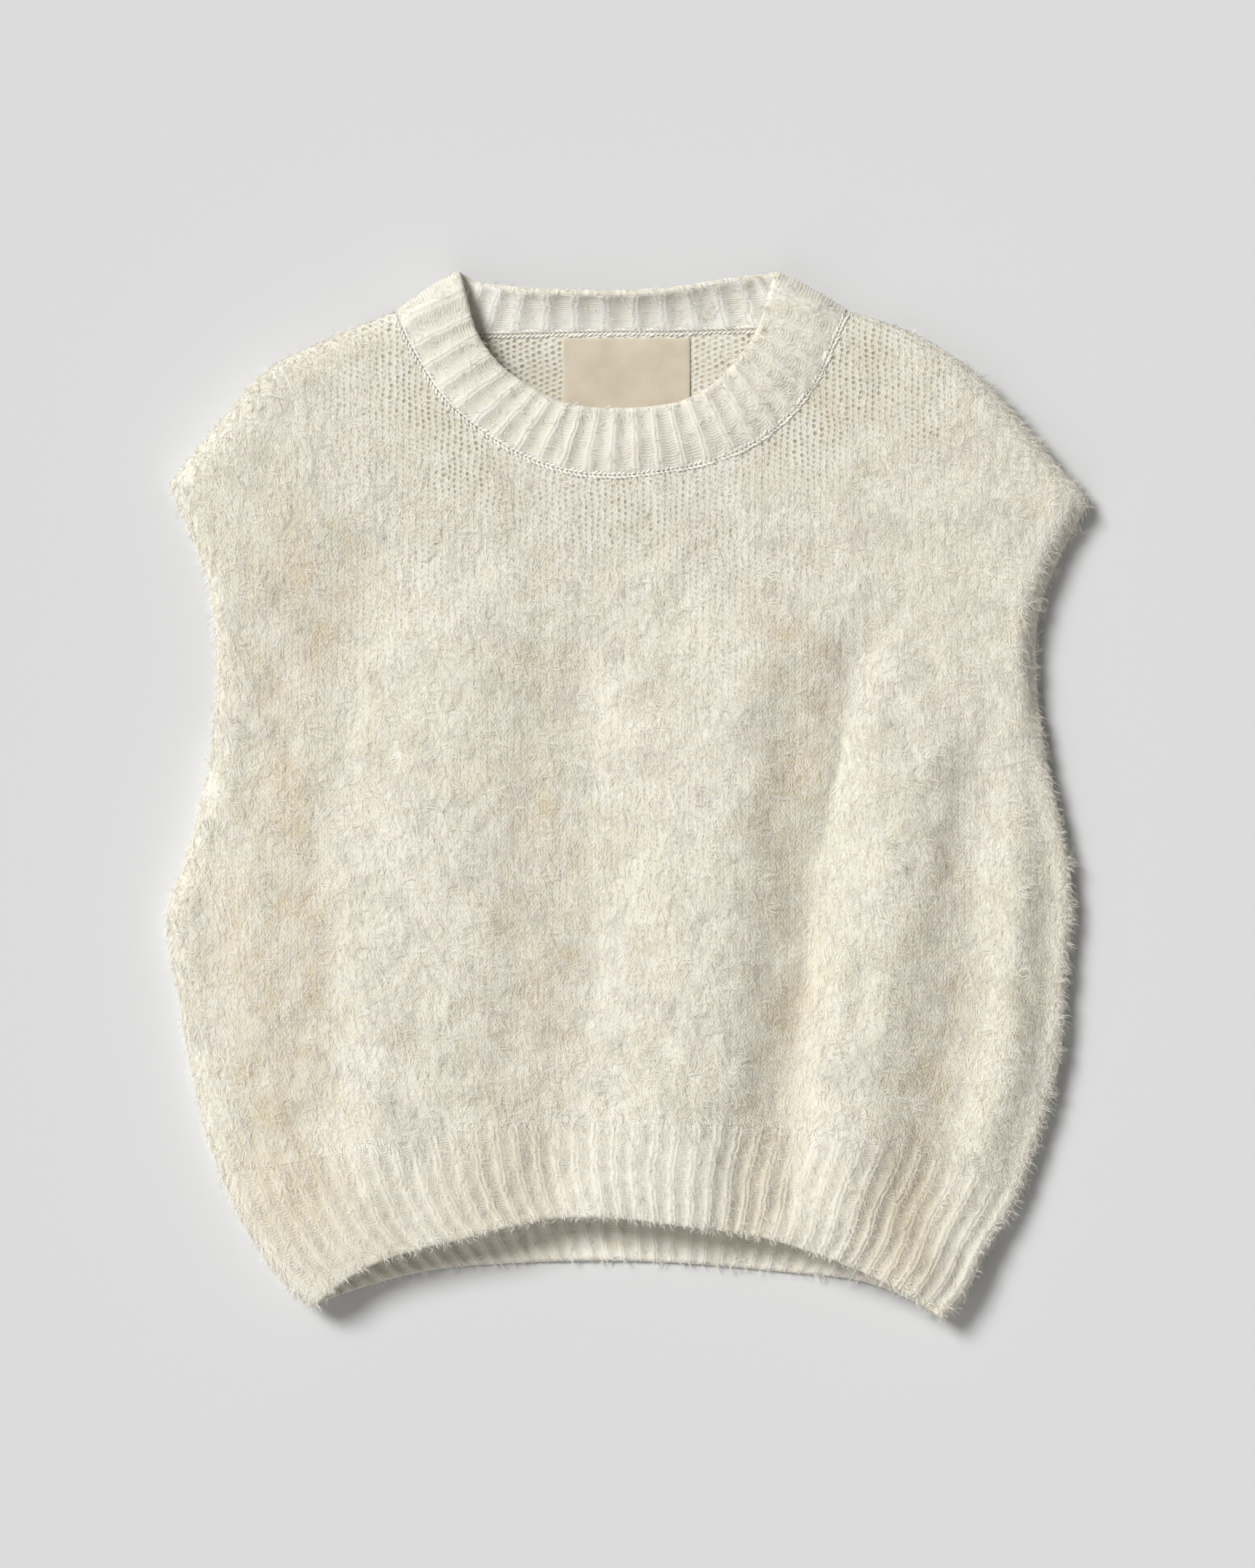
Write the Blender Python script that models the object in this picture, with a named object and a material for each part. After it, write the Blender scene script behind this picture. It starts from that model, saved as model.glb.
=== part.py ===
"""Cropped sleeveless pullover of brushed ivory knit, laid flat on its back.

X runs across the garment, +Y towards the neck and +Z up from the table. The origin is
on the table, under the middle of the garment. All lengths are in metres.

Front and back are two layers that meet at fold seams down the sides and along the
shoulders. Each layer is a height over the plan, and each piece is a wall of even
thickness on its share of that layer. The neckband is a ring that turns over at both
shoulders, so that its outer face is up in front and its inner face is up behind.
"""

from collections import namedtuple

import bmesh
import bpy
import numpy as np

COLLECTION_NAME = "cropped_sleeveless_pullover"

# Cloth
WALL = 0.0030  # brushed knit with its pile pressed down
SEAM_GAP = 0.0003  # between neighbouring pieces
LABEL_THICKNESS = 0.0008

# Heights of the middle of the wall above the table
BACK_HEIGHT = WALL / 2
SEAM_HEIGHT = 0.0075  # side and shoulder seams
SHOULDER_CROWN = 0.0180  # front layer in the upper body
BELLY_CROWN = 0.0260  # front layer in the lower body
CROWN_TOP_Y = 0.150
CROWN_BOTTOM_Y = -0.110

# How the layers turn over at the edges
FRONT_CURL_RUN = 0.0120  # plan width of the front's round edge
FRONT_CURL_RISE = 0.0090
BACK_CURL_RUN = 0.0060
CROWN_RUN = 0.090  # from a seam to the full crown
ARMHOLE_CURL_RUN = 0.0100
ARMHOLE_DROOP = 0.0045
UNDERARM_Y = 0.036

# Hem corners stand off the table
CORNER_LIFT = 0.0065
CORNER_REACH = 0.085
CORNER_BACK_LIFT = 0.0060
HEM_ARCH = 0.0030  # the front hem stands higher in the middle
HEM_ARCH_REACH = 0.110

# Back neck edge lifts towards the neckband
NECK_LIFT = 0.0030
NECK_LIFT_REACH = 0.030

# Ribs
NECK_FRONT_RIBS = 24
NECK_BACK_RIBS = 15
NECK_RIB_RISE = 0.0010
NECK_RIB_STATIONS = 4  # points across one rib
NECK_BAND_STEPS = 4
NECK_BOW = 0.0015
HEM_RIBS = 40
HEM_RIB_RISE = 0.0012
HEM_RIB_STATIONS = 3
HEM_BAND_STEPS = 3
NECK_RIB = ((0.0, 0.0), (0.30, 0.15), (0.50, 1.0), (0.70, 0.15), (1.0, 0.0))  # place, height
HEM_RIB = ((0.0, 0.0), (0.34, 0.1), (0.67, 1.0), (1.0, 0.0))
EDGE_RIB_SHARE = 0.6  # height of the ribs at a free edge
HALF_RIB = 0.5  # the inner face has its ribs between the outer ones

# Neckband fold at the shoulders
BAND_FOLD_HEIGHT = 0.0130
BAND_FOLD_RUN = 0.0080

# Label
LABEL_WIDTH = 0.066
LABEL_LENGTH = 0.042
LABEL_MIDDLE_X = -0.0030
LABEL_TOP_Y = 0.2430
LABEL_COLUMNS = 8
LABEL_ROWS = 5

Point = namedtuple("Point", "x y")
BandRow = namedtuple("BandRow", "seam_x seam_y edge_x edge_y edge_z")
Fold = namedtuple("Fold", "top middle bottom width rise")

# Middle of the wall along the left side, from the hem corner to the shoulder tip
LEFT_SIDE = (
    Point(-0.1675, -0.2615),
    Point(-0.1790, -0.2520),
    Point(-0.1976, -0.2265),
    Point(-0.2185, -0.1809),
    Point(-0.2300, -0.1353),
    Point(-0.2362, -0.0980),
    Point(-0.2422, -0.0600),
    Point(-0.2318, -0.0290),
    Point(-0.2235, 0.0015),
    Point(-0.2180, 0.0320),
    Point(-0.2155, 0.0700),
    Point(-0.2210, 0.1200),
    Point(-0.2305, 0.1440),
    Point(-0.2405, 0.1670),
)

# The same line on the right
RIGHT_SIDE = (
    Point(0.1625, -0.2680),
    Point(0.1735, -0.2565),
    Point(0.1860, -0.2340),
    Point(0.2020, -0.2100),
    Point(0.2170, -0.1700),
    Point(0.2270, -0.1353),
    Point(0.2310, -0.0900),
    Point(0.2335, -0.0480),
    Point(0.2275, -0.0110),
    Point(0.2195, 0.0250),
    Point(0.2155, 0.0600),
    Point(0.2175, 0.1000),
    Point(0.2290, 0.1290),
    Point(0.2415, 0.1570),
)

# Shoulder seams, from the armhole tip to the neck
LEFT_SHOULDER = (
    Point(-0.2405, 0.1670),
    Point(-0.2150, 0.1978),
    Point(-0.1865, 0.2277),
    Point(-0.1550, 0.2430),
    Point(-0.1231, 0.2560),
)
RIGHT_SHOULDER = (
    Point(0.2415, 0.1570),
    Point(0.2180, 0.1825),
    Point(0.1915, 0.2128),
    Point(0.1500, 0.2430),
    Point(0.1121, 0.2565),
)

# Free edge of the front hem, from corner to corner
FRONT_HEM_EDGE = (
    Point(-0.1675, -0.2615),
    Point(-0.1444, -0.2436),
    Point(-0.0870, -0.2246),
    Point(-0.0350, -0.2139),
    Point(0.0293, -0.2181),
    Point(0.0798, -0.2272),
    Point(0.1246, -0.2443),
    Point(0.1525, -0.2600),
    Point(0.1625, -0.2680),
)

HEM_MIDDLE = FRONT_HEM_EDGE[2:6]

# Free edge of the back hem
BACK_HEM_EDGE = (
    Point(-0.1675, -0.2615),
    Point(-0.1501, -0.2550),
    Point(-0.1159, -0.2455),
    Point(-0.0555, -0.2395),
    Point(-0.0068, -0.2385),
    Point(0.0783, -0.2443),
    Point(0.1269, -0.2508),
    Point(0.1500, -0.2605),
    Point(0.1625, -0.2680),
)

# Where the ribs begin, between the side seams
LEFT_RIB_Y = -0.194
RIGHT_RIB_Y = -0.203
FRONT_RIB_LINE = (
    Point(-0.160, -0.184),
    Point(-0.100, -0.172),
    Point(0.000, -0.166),
    Point(0.120, -0.176),
    Point(0.160, -0.187),
)
BACK_RIB_LINE = (
    Point(-0.150, -0.187),
    Point(0.000, -0.175),
    Point(0.150, -0.190),
)

# Front half of the neckband, from the left shoulder to the right
FRONT_BAND = (
    BandRow(-0.1231, 0.2560, -0.0912, 0.2762, 0.0185),
    BandRow(-0.1189, 0.2455, -0.0870, 0.2599, 0.0190),
    BandRow(-0.1098, 0.2284, -0.0825, 0.2447, 0.0190),
    BandRow(-0.0977, 0.2105, -0.0711, 0.2284, 0.0190),
    BandRow(-0.0794, 0.1946, -0.0559, 0.2170, 0.0192),
    BandRow(-0.0559, 0.1805, -0.0395, 0.2082, 0.0195),
    BandRow(-0.0319, 0.1725, -0.0232, 0.2048, 0.0198),
    BandRow(-0.0080, 0.1706, -0.0065, 0.2041, 0.0200),
    BandRow(0.0163, 0.1730, 0.0118, 0.2052, 0.0198),
    BandRow(0.0403, 0.1778, 0.0289, 0.2090, 0.0195),
    BandRow(0.0631, 0.1873, 0.0452, 0.2189, 0.0192),
    BandRow(0.0821, 0.2022, 0.0566, 0.2314, 0.0190),
    BandRow(0.0954, 0.2193, 0.0635, 0.2409, 0.0190),
    BandRow(0.1037, 0.2371, 0.0688, 0.2523, 0.0190),
    BandRow(0.1083, 0.2478, 0.0718, 0.2626, 0.0190),
    BandRow(0.1121, 0.2565, 0.0756, 0.2759, 0.0185),
)

# Back half, from the right shoulder to the left
BACK_BAND = (
    BandRow(0.1121, 0.2565, 0.0756, 0.2759, 0.0080),
    BandRow(0.0897, 0.2508, 0.0680, 0.2751, 0.0100),
    BandRow(0.0673, 0.2481, 0.0581, 0.2736, 0.0165),
    BandRow(0.0460, 0.2474, 0.0403, 0.2706, 0.0205),
    BandRow(0.0213, 0.2466, 0.0186, 0.2671, 0.0232),
    BandRow(-0.0046, 0.2466, -0.0046, 0.2656, 0.0240),
    BandRow(-0.0300, 0.2462, -0.0300, 0.2660, 0.0235),
    BandRow(-0.0566, 0.2455, -0.0536, 0.2671, 0.0210),
    BandRow(-0.0783, 0.2451, -0.0688, 0.2690, 0.0170),
    BandRow(-0.1022, 0.2478, -0.0832, 0.2717, 0.0105),
    BandRow(-0.1231, 0.2560, -0.0912, 0.2762, 0.0080),
)

# Soft folds of the front layer: three points, half width, and rise or sink
FOLDS = (
    Fold(Point(-0.1725, 0.1079), Point(-0.1858, 0.0395), Point(-0.1950, -0.0400), 0.028, -0.0040),
    Fold(Point(-0.1930, -0.1350), Point(-0.1980, -0.1600), Point(-0.1990, -0.1850), 0.018, -0.0035),
    Fold(Point(-0.1345, -0.0670), Point(-0.1345, -0.1500), Point(-0.1345, -0.2270), 0.014, 0.0045),
    Fold(Point(-0.0490, 0.0430), Point(-0.0560, -0.0900), Point(-0.1020, -0.2040), 0.026, -0.0050),
    Fold(Point(0.0156, 0.0205), Point(0.0118, -0.1087), Point(-0.0034, -0.2037), 0.026, 0.0040),
    Fold(Point(0.0840, 0.0430), Point(0.0764, -0.0821), Point(0.0600, -0.2075), 0.018, -0.0075),
    Fold(Point(0.1030, -0.0400), Point(0.1030, -0.1429), Point(0.0840, -0.2037), 0.014, 0.0040),
    Fold(Point(0.1638, 0.0053), Point(0.1550, -0.1200), Point(0.1296, -0.2113), 0.022, -0.0045),
    Fold(Point(0.1960, -0.0290), Point(0.1990, -0.0935), Point(0.1562, -0.2455), 0.015, 0.0035),
)
FOLD_FADE_RUN = 0.035  # folds die out towards the seams

# Grids
LINE_SAMPLES = 240
EDGE_COLUMNS = (0.0, 0.0036, 0.0133, 0.0270, 0.0500)  # shares of the width at a side
NECK_COLUMNS = (0.0, 0.0053, 0.0200, 0.0400)  # shares of the neckline at a shoulder
UPPER_SHARE = 0.86  # of the length, where the rows draw closer
TOP_ROWS = (0.9730, 0.9867, 0.9964, 1.0)  # shares of the length below the shoulder
SHOULDER_SHARE = 0.25  # of the columns, on each side of the neck
FRONT_SHOULDER_STEPS = 8
FRONT_NECK_STEPS = 16
FRONT_ROW_STEPS = (15, 4)  # up to UPPER_SHARE, and on to the top rows
BACK_SHOULDER_STEPS = 4
BACK_NECK_STEPS = 8
BACK_ROW_STEPS = (8, 6)
TINY_SHARE = 1e-7  # for slopes
CLOSE_STATIONS = 0.25  # of a rib's station

# Materials
Finish = namedtuple("Finish", "color roughness")
KNIT = Finish((0.80, 0.77, 0.68), 0.90)
RIB_KNIT = Finish((0.82, 0.79, 0.70), 0.88)
SATIN = Finish((0.62, 0.54, 0.42), 0.45)
SMOOTH_ANGLE = 0.9


def fade(share):
    """From 1 at share 0 to 0 at share 1 and past it, level at both ends."""
    share = np.clip(share, 0.0, 1.0)
    return 1 - share * share * (3 - 2 * share)


def arch(share):
    """Quarter circle: rises upright from 0 and is level from share 1 on."""
    return np.sqrt(1 - (1 - np.clip(share, 0.0, 1.0)) ** 2)


def smooth_points(knots, rows):
    """Dense values of a smooth curve through the rows, one at each knot."""
    rows = np.array(rows, float)
    slopes = np.gradient(rows, knots, axis=0)
    where = np.linspace(knots[0], knots[-1], LINE_SAMPLES)
    low = np.clip(np.searchsorted(knots, where) - 1, 0, len(knots) - 2)
    run = (knots[low + 1] - knots[low])[:, None]
    t = (where - knots[low])[:, None] / run
    start = (1 + 2 * t) * (1 - t) ** 2 * rows[low] + t * (1 - t) ** 2 * run * slopes[low]
    end = t * t * (3 - 2 * t) * rows[low + 1] - t * t * (1 - t) * run * slopes[low + 1]
    return start + end


def knots_along(points):
    """Length along a line of points, at each of them."""
    steps = np.linalg.norm(np.diff(points, axis=0), axis=1)
    return np.concatenate([[0.0], np.cumsum(steps)])


class PlanLine:
    """A line in plan, read by its share of length from 0 to 1."""

    def __init__(self, points, shares=None):
        self.points = np.asarray(points, float)
        knots = knots_along(self.points)
        self.shares = knots / knots[-1] if shares is None else shares

    @classmethod
    def through(cls, rows):
        points = np.array([(row.x, row.y) for row in rows])
        return cls(smooth_points(knots_along(points), points))

    @classmethod
    def joined(cls, lines, ends):
        """Lines one after the other, each filling its part of the shares."""
        points = np.concatenate([line.points for line in lines])
        parts = zip(lines, ends[:-1], ends[1:])
        return cls(points, np.concatenate([a + (b - a) * line.shares for line, a, b in parts]))

    def at(self, share):
        return np.stack([np.interp(share, self.shares, self.points[:, k]) for k in (0, 1)], -1)

    def share_at_y(self, y):
        return float(np.interp(y, self.points[:, 1], self.shares))

    def part(self, first, last):
        inside = (self.shares > first) & (self.shares < last)
        ends = self.at(np.array([first, last]))
        return PlanLine(np.concatenate([ends[:1], self.points[inside], ends[1:]]))

    def backwards(self):
        return PlanLine(self.points[::-1], 1 - self.shares[::-1])

    def distance(self, plan):
        """Distance of each plan point from this line."""
        start = self.points[:-1]
        run = np.diff(self.points, axis=0)
        moving = (run * run).sum(-1) > 0
        start, run = start[moving], run[moving]
        flat = plan.reshape(-1, 1, 2)
        along = ((flat - start) * run).sum(-1) / (run * run).sum(-1)
        nearest = start + np.clip(along, 0.0, 1.0)[..., None] * run
        return np.linalg.norm(flat - nearest, axis=-1).min(1).reshape(plan.shape[:-1])


def band_fold(row):
    """Plan line on which the neckband turns over at a shoulder."""
    return PlanLine(((row.seam_x, row.seam_y), (row.edge_x, row.edge_y)))


def nearest_distance(lines, plan):
    return np.min([line.distance(plan) for line in lines], axis=0)


class Layers:
    """The plan lines of the garment, and the heights of its two layers over them."""

    def __init__(self):
        self.left_side = PlanLine.through(LEFT_SIDE)
        self.right_side = PlanLine.through(RIGHT_SIDE)
        self.left_shoulder = PlanLine.through(LEFT_SHOULDER)
        self.right_shoulder = PlanLine.through(RIGHT_SHOULDER)
        self.front_neck = PlanLine.through([Point(row.seam_x, row.seam_y) for row in FRONT_BAND])
        back_rows = [Point(row.seam_x, row.seam_y) for row in reversed(BACK_BAND)]
        self.back_neck = PlanLine.through(back_rows)
        left_arm = self.left_side.share_at_y(UNDERARM_Y)
        right_arm = self.right_side.share_at_y(UNDERARM_Y)
        self.fold_seams = (
            self.left_side.part(0.0, left_arm),
            self.right_side.part(0.0, right_arm),
            self.left_shoulder,
            self.right_shoulder,
            band_fold(FRONT_BAND[0]),
            band_fold(FRONT_BAND[-1]),
        )
        self.armholes = (self.left_side.part(left_arm, 1.0), self.right_side.part(right_arm, 1.0))
        self.corners = np.array([LEFT_SIDE[0], RIGHT_SIDE[0]])
        self.hem_middle = PlanLine.through(HEM_MIDDLE)
        self.folds = [
            (PlanLine.through((fold.top, fold.middle, fold.bottom)), fold) for fold in FOLDS
        ]

    def corner_share(self, plan):
        reach = np.linalg.norm(plan[..., None, :] - self.corners, axis=-1).min(-1)
        return fade(reach / CORNER_REACH)

    def seam_height(self, plan):
        return SEAM_HEIGHT + CORNER_LIFT * self.corner_share(plan)

    def front_height(self, plan):
        seam = nearest_distance(self.fold_seams, plan)
        armhole = nearest_distance(self.armholes, plan)
        low = fade((CROWN_TOP_Y - plan[..., 1]) / (CROWN_TOP_Y - CROWN_BOTTOM_Y))
        crown = BELLY_CROWN + (SHOULDER_CROWN - BELLY_CROWN) * low
        height = self.seam_height(plan) + SEAM_GAP / 2 + FRONT_CURL_RISE * arch(seam / FRONT_CURL_RUN)
        height = height + (crown - SEAM_HEIGHT - FRONT_CURL_RISE) * (1 - fade(seam / CROWN_RUN))
        for line, fold in self.folds:
            soft = np.exp(-((line.distance(plan) / fold.width) ** 2))
            height = height + fold.rise * soft * (1 - fade(seam / FOLD_FADE_RUN))
        hem = self.hem_middle.distance(plan)
        height = height + HEM_ARCH * fade(hem / HEM_ARCH_REACH) * (1 - fade(seam / CROWN_RUN))
        droop = ARMHOLE_DROOP * (1 - arch(armhole / ARMHOLE_CURL_RUN))
        return height - droop * arch(seam / FRONT_CURL_RUN)

    def back_height(self, plan):
        seam = nearest_distance(self.fold_seams, plan)
        level = BACK_HEIGHT + CORNER_BACK_LIFT * self.corner_share(plan)
        level = level + NECK_LIFT * fade(self.back_neck.distance(plan) / NECK_LIFT_REACH)
        climb = self.seam_height(plan) - SEAM_GAP / 2 - level
        return level + climb * (1 - arch(seam / BACK_CURL_RUN))


class Patch:
    """A four-sided stretch of one layer, read by its shares across and up."""

    def __init__(self, bottom, top, left, right, height):
        self.bottom, self.top, self.left, self.right = bottom, top, left, right
        self.height = height

    def at(self, across, up):
        across, up = np.broadcast_arrays(across, up)
        u, v = across[..., None], up[..., None]
        sides = (1 - v) * self.bottom.at(across) + v * self.top.at(across)
        sides = sides + (1 - u) * self.left.at(up) + u * self.right.at(up)
        low = (1 - u) * self.bottom.at(0.0) + u * self.bottom.at(1.0)
        high = (1 - u) * self.top.at(0.0) + u * self.top.at(1.0)
        plan = sides - (1 - v) * low - v * high
        return np.concatenate([plan, self.height(plan)[..., None]], -1)

    def grid(self, across, up, facing):
        """Middle points and outward normals. facing is 1 for the front and -1 for the back."""
        across, up = np.meshgrid(across, up, indexing="ij")
        tiny = TINY_SHARE
        low_u, high_u = np.clip(across - tiny, 0, 1), np.clip(across + tiny, 0, 1)
        low_v, high_v = np.clip(up - tiny, 0, 1), np.clip(up + tiny, 0, 1)
        along = self.at(high_u, up) - self.at(low_u, up)
        upward = self.at(across, high_v) - self.at(across, low_v)
        normals = np.cross(unit(along), unit(upward))
        return self.at(across, up), unit(normals) * facing


def unit(vectors):
    return vectors / np.linalg.norm(vectors, axis=-1, keepdims=True)


def side_shares(shoulder_steps, neck_steps):
    """Shares across a panel: close together at its sides and beside the neck."""
    edge = np.array(EDGE_COLUMNS)
    shoulder = np.concatenate([edge[:-1], np.linspace(edge[-1], SHOULDER_SHARE, shoulder_steps + 1)])
    near = np.array(NECK_COLUMNS)
    open_part = np.linspace(near[-1], 1 - near[-1], neck_steps + 1)
    neck = np.concatenate([near[:-1], open_part, 1 - near[-2::-1]])
    middle = SHOULDER_SHARE + (1 - 2 * SHOULDER_SHARE) * neck
    return np.concatenate([shoulder[:-1], middle, 1 - shoulder[-2::-1]]), neck


def row_shares(steps):
    lower, upper = steps
    low = np.linspace(0.0, UPPER_SHARE, lower + 1)[:-1]
    high = np.linspace(UPPER_SHARE, TOP_ROWS[0], upper + 1)[:-1]
    return np.concatenate([low, high, TOP_ROWS])


def merged_shares(kept, added, least):
    """The kept shares, and those of the added ones that aren't close to one of them."""
    clear = np.abs(added[:, None] - kept).min(1) > least
    return np.sort(np.concatenate([kept, added[clear]]))


def rib_wave(shares, ribs, profile):
    """Height of the ribs from 0 to 1. The profile gives points of one rib: place, height."""
    place = np.mod(shares * ribs, 1.0)
    return np.interp(place, [point[0] for point in profile], [point[1] for point in profile])


def shifted(line, y):
    return PlanLine(line.points + np.array([0.0, y]), line.shares)


def wall_object(name, outer, inner, ring, finish, collection):
    """A closed wall between two grids of points, open all round its rims or joined as a ring."""
    columns, rows = outer.shape[:2]
    points = np.concatenate([outer.reshape(-1, 3), inner.reshape(-1, 3)])
    index = np.arange(columns * rows).reshape(columns, rows)
    far = index + columns * rows
    wraps = np.arange(columns if ring else columns - 1)
    after = (wraps + 1) % columns
    faces = []
    for i, k in zip(wraps, after):
        for j in range(rows - 1):
            faces.append((index[i, j], index[k, j], index[k, j + 1], index[i, j + 1]))
            faces.append((far[i, j], far[i, j + 1], far[k, j + 1], far[k, j]))
        faces.append((index[i, 0], far[i, 0], far[k, 0], index[k, 0]))
        faces.append((index[i, -1], index[k, -1], far[k, -1], far[i, -1]))
    if not ring:
        for j in range(rows - 1):
            faces.append((index[0, j], index[0, j + 1], far[0, j + 1], far[0, j]))
            faces.append((index[-1, j], far[-1, j], far[-1, j + 1], index[-1, j + 1]))
    mesh = bpy.data.meshes.new(name)
    mesh.from_pydata(points.tolist(), [], [tuple(int(i) for i in face) for face in faces])
    shape = bmesh.new()
    shape.from_mesh(mesh)
    bmesh.ops.recalc_face_normals(shape, faces=shape.faces)
    shape.to_mesh(mesh)
    shape.free()
    mesh.shade_smooth()
    mesh.set_sharp_from_angle(angle=SMOOTH_ANGLE)
    mesh.materials.append(principled(name, finish))
    collection.objects.link(bpy.data.objects.new(name, mesh))


def principled(name, finish):
    material = bpy.data.materials.new(name)
    material.use_nodes = True
    shader = material.node_tree.nodes["Principled BSDF"]
    shader.inputs["Base Color"].default_value = (*finish.color, 1.0)
    shader.inputs["Roughness"].default_value = finish.roughness
    shader.inputs["Metallic"].default_value = 0.0
    return material


def clear_scene():
    for old in list(bpy.data.objects):
        bpy.data.objects.remove(old, do_unlink=True)


def rib_line(rows, layers):
    """Line where the ribs begin, from side seam to side seam."""
    left = layers.left_side.at(layers.left_side.share_at_y(LEFT_RIB_Y))
    right = layers.right_side.at(layers.right_side.share_at_y(RIGHT_RIB_Y))
    return PlanLine.through((Point(*left), *rows, Point(*right)))


def side_parts(layers, low_shift, high):
    """The side lines above the rib line, or below it where high is False."""
    parts = []
    for line, rib_y in ((layers.left_side, LEFT_RIB_Y), (layers.right_side, RIGHT_RIB_Y)):
        share = line.share_at_y(rib_y + low_shift)
        parts.append(line.part(share, 1.0) if high else line.part(0.0, share))
    return parts


def make_panel(name, layers, neck, rib, height, facing, steps, collection):
    """A body panel from its ribs to its shoulders and neckline, and its neck rim."""
    shoulder_steps, neck_steps, row_steps = steps
    ends = (0.0, SHOULDER_SHARE, 1 - SHOULDER_SHARE, 1.0)
    top = PlanLine.joined((layers.left_shoulder, neck, layers.right_shoulder.backwards()), ends)
    left, right = side_parts(layers, SEAM_GAP / 2, True)
    patch = Patch(trimmed(shifted(rib, SEAM_GAP / 2), left, right), top, left, right, height)
    across, neck_shares = side_shares(shoulder_steps, neck_steps)
    middle, normals = patch.grid(across, row_shares(row_steps), facing)
    neck_start = shoulder_steps + len(EDGE_COLUMNS) - 1
    rim = slice(neck_start, neck_start + len(neck_shares))
    normals[rim, -1] = turned_to_folds(normals[rim, -1])
    neck_middle, neck_normals = middle[rim, -1].copy(), normals[rim, -1].copy()
    inward = unit(np.cross(unit(np.gradient(neck_middle, axis=0)), neck_normals)) * facing
    from_fold = np.linalg.norm(neck_middle[:, None, :2] - neck_middle[[0, -1], :2], axis=-1).min(1)
    gap = SEAM_GAP * (1 + fade(from_fold / BAND_FOLD_RUN))
    middle[rim, -1] = neck_middle + inward * gap[:, None]
    wall_object(
        name, middle + normals * WALL / 2, middle - normals * WALL / 2, False, KNIT, collection
    )
    return neck_shares, neck_middle, neck_normals


def turned_to_folds(normals):
    """The neck rim's normals, square to the neckband's fold at each shoulder."""
    for place, row in ((0, FRONT_BAND[0]), (-1, FRONT_BAND[-1])):
        along = np.array([row.edge_x - row.seam_x, row.edge_y - row.seam_y])
        square = unit(np.array([-along[1], along[0], 0.0]))
        normals[place] = square * np.sign(square @ normals[place])
    return normals


def trimmed(line, left, right):
    """The line with its ends drawn to where the side lines start or end."""
    points = line.points.copy()
    points[0], points[-1] = nearest_end(left, points[0]), nearest_end(right, points[-1])
    return PlanLine(points, line.shares)


def nearest_end(line, point):
    ends = line.points[[0, -1]]
    return ends[np.linalg.norm(ends - point, axis=1).argmin()]


def make_hem_rib(name, layers, edge_rows, rib, height, facing, panel_shares, collection):
    """Ribbed hem band from its free edge to the rib line, with ribs on the face that is up."""
    left, right = side_parts(layers, -SEAM_GAP / 2, False)
    top = trimmed(shifted(rib, -SEAM_GAP / 2), left, right)
    edge = PlanLine.through(edge_rows)
    patch = Patch(edge, top, left, right, height)
    count = HEM_RIBS * HEM_RIB_STATIONS
    across = merged_shares(panel_shares, np.arange(count + 1) / count, CLOSE_STATIONS / count)
    middle, normals = patch.grid(across, np.linspace(0.0, 1.0, HEM_BAND_STEPS + 1), facing)
    wave = rib_wave(across, HEM_RIBS, HEM_RIB)
    wave[[0, -1]] = 0.0
    raised = np.array([EDGE_RIB_SHARE] + [1.0] * (HEM_BAND_STEPS - 1) + [0.0])
    relief = HEM_RIB_RISE * (wave[:, None] * raised)[..., None]
    up_side = WALL / 2 + relief
    outer_half, inner_half = (up_side, WALL / 2) if facing > 0 else (WALL / 2, up_side)
    wall_object(
        name, middle + normals * outer_half, middle - normals * inner_half, False, RIB_KNIT, collection
    )


def band_edge(rows, shares):
    """Free edge of one half of the neckband, turned over at its two shoulder folds."""
    plan_rows = np.array([(row.edge_x, row.edge_y) for row in rows])
    seam_rows = np.array([(row.seam_x, row.seam_y) for row in rows])
    knots = knots_along(seam_rows)
    values = smooth_points(knots, [(row.edge_x, row.edge_y, row.edge_z) for row in rows])
    along = np.linspace(0.0, 1.0, LINE_SAMPLES)
    points = np.stack([np.interp(shares, along, values[:, k]) for k in range(3)], -1)
    ends = plan_rows[[0, -1]]
    from_fold = np.linalg.norm(points[:, None, :2] - ends, axis=-1).min(1)
    turn = arch(from_fold / BAND_FOLD_RUN)
    points[:, 2] = BAND_FOLD_HEIGHT + (points[:, 2] - BAND_FOLD_HEIGHT) * turn
    return points


def band_half(rows, rim, ribs):
    """Stations of one half: their seam points, rim normals, free edge and rib waves."""
    shares, seam, normals = rim
    count = ribs * NECK_RIB_STATIONS
    merged = merged_shares(shares, np.arange(count + 1) / count, CLOSE_STATIONS / count)
    seam_points = np.stack([np.interp(merged, shares, seam[:, k]) for k in range(3)], -1)
    rim_normals = np.stack([np.interp(merged, shares, normals[:, k]) for k in range(3)], -1)
    wave = rib_wave(merged, ribs, NECK_RIB)
    counter = rib_wave(merged + HALF_RIB / ribs, ribs, NECK_RIB)
    return seam_points, unit(rim_normals), band_edge(rows, merged), wave, counter


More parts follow.
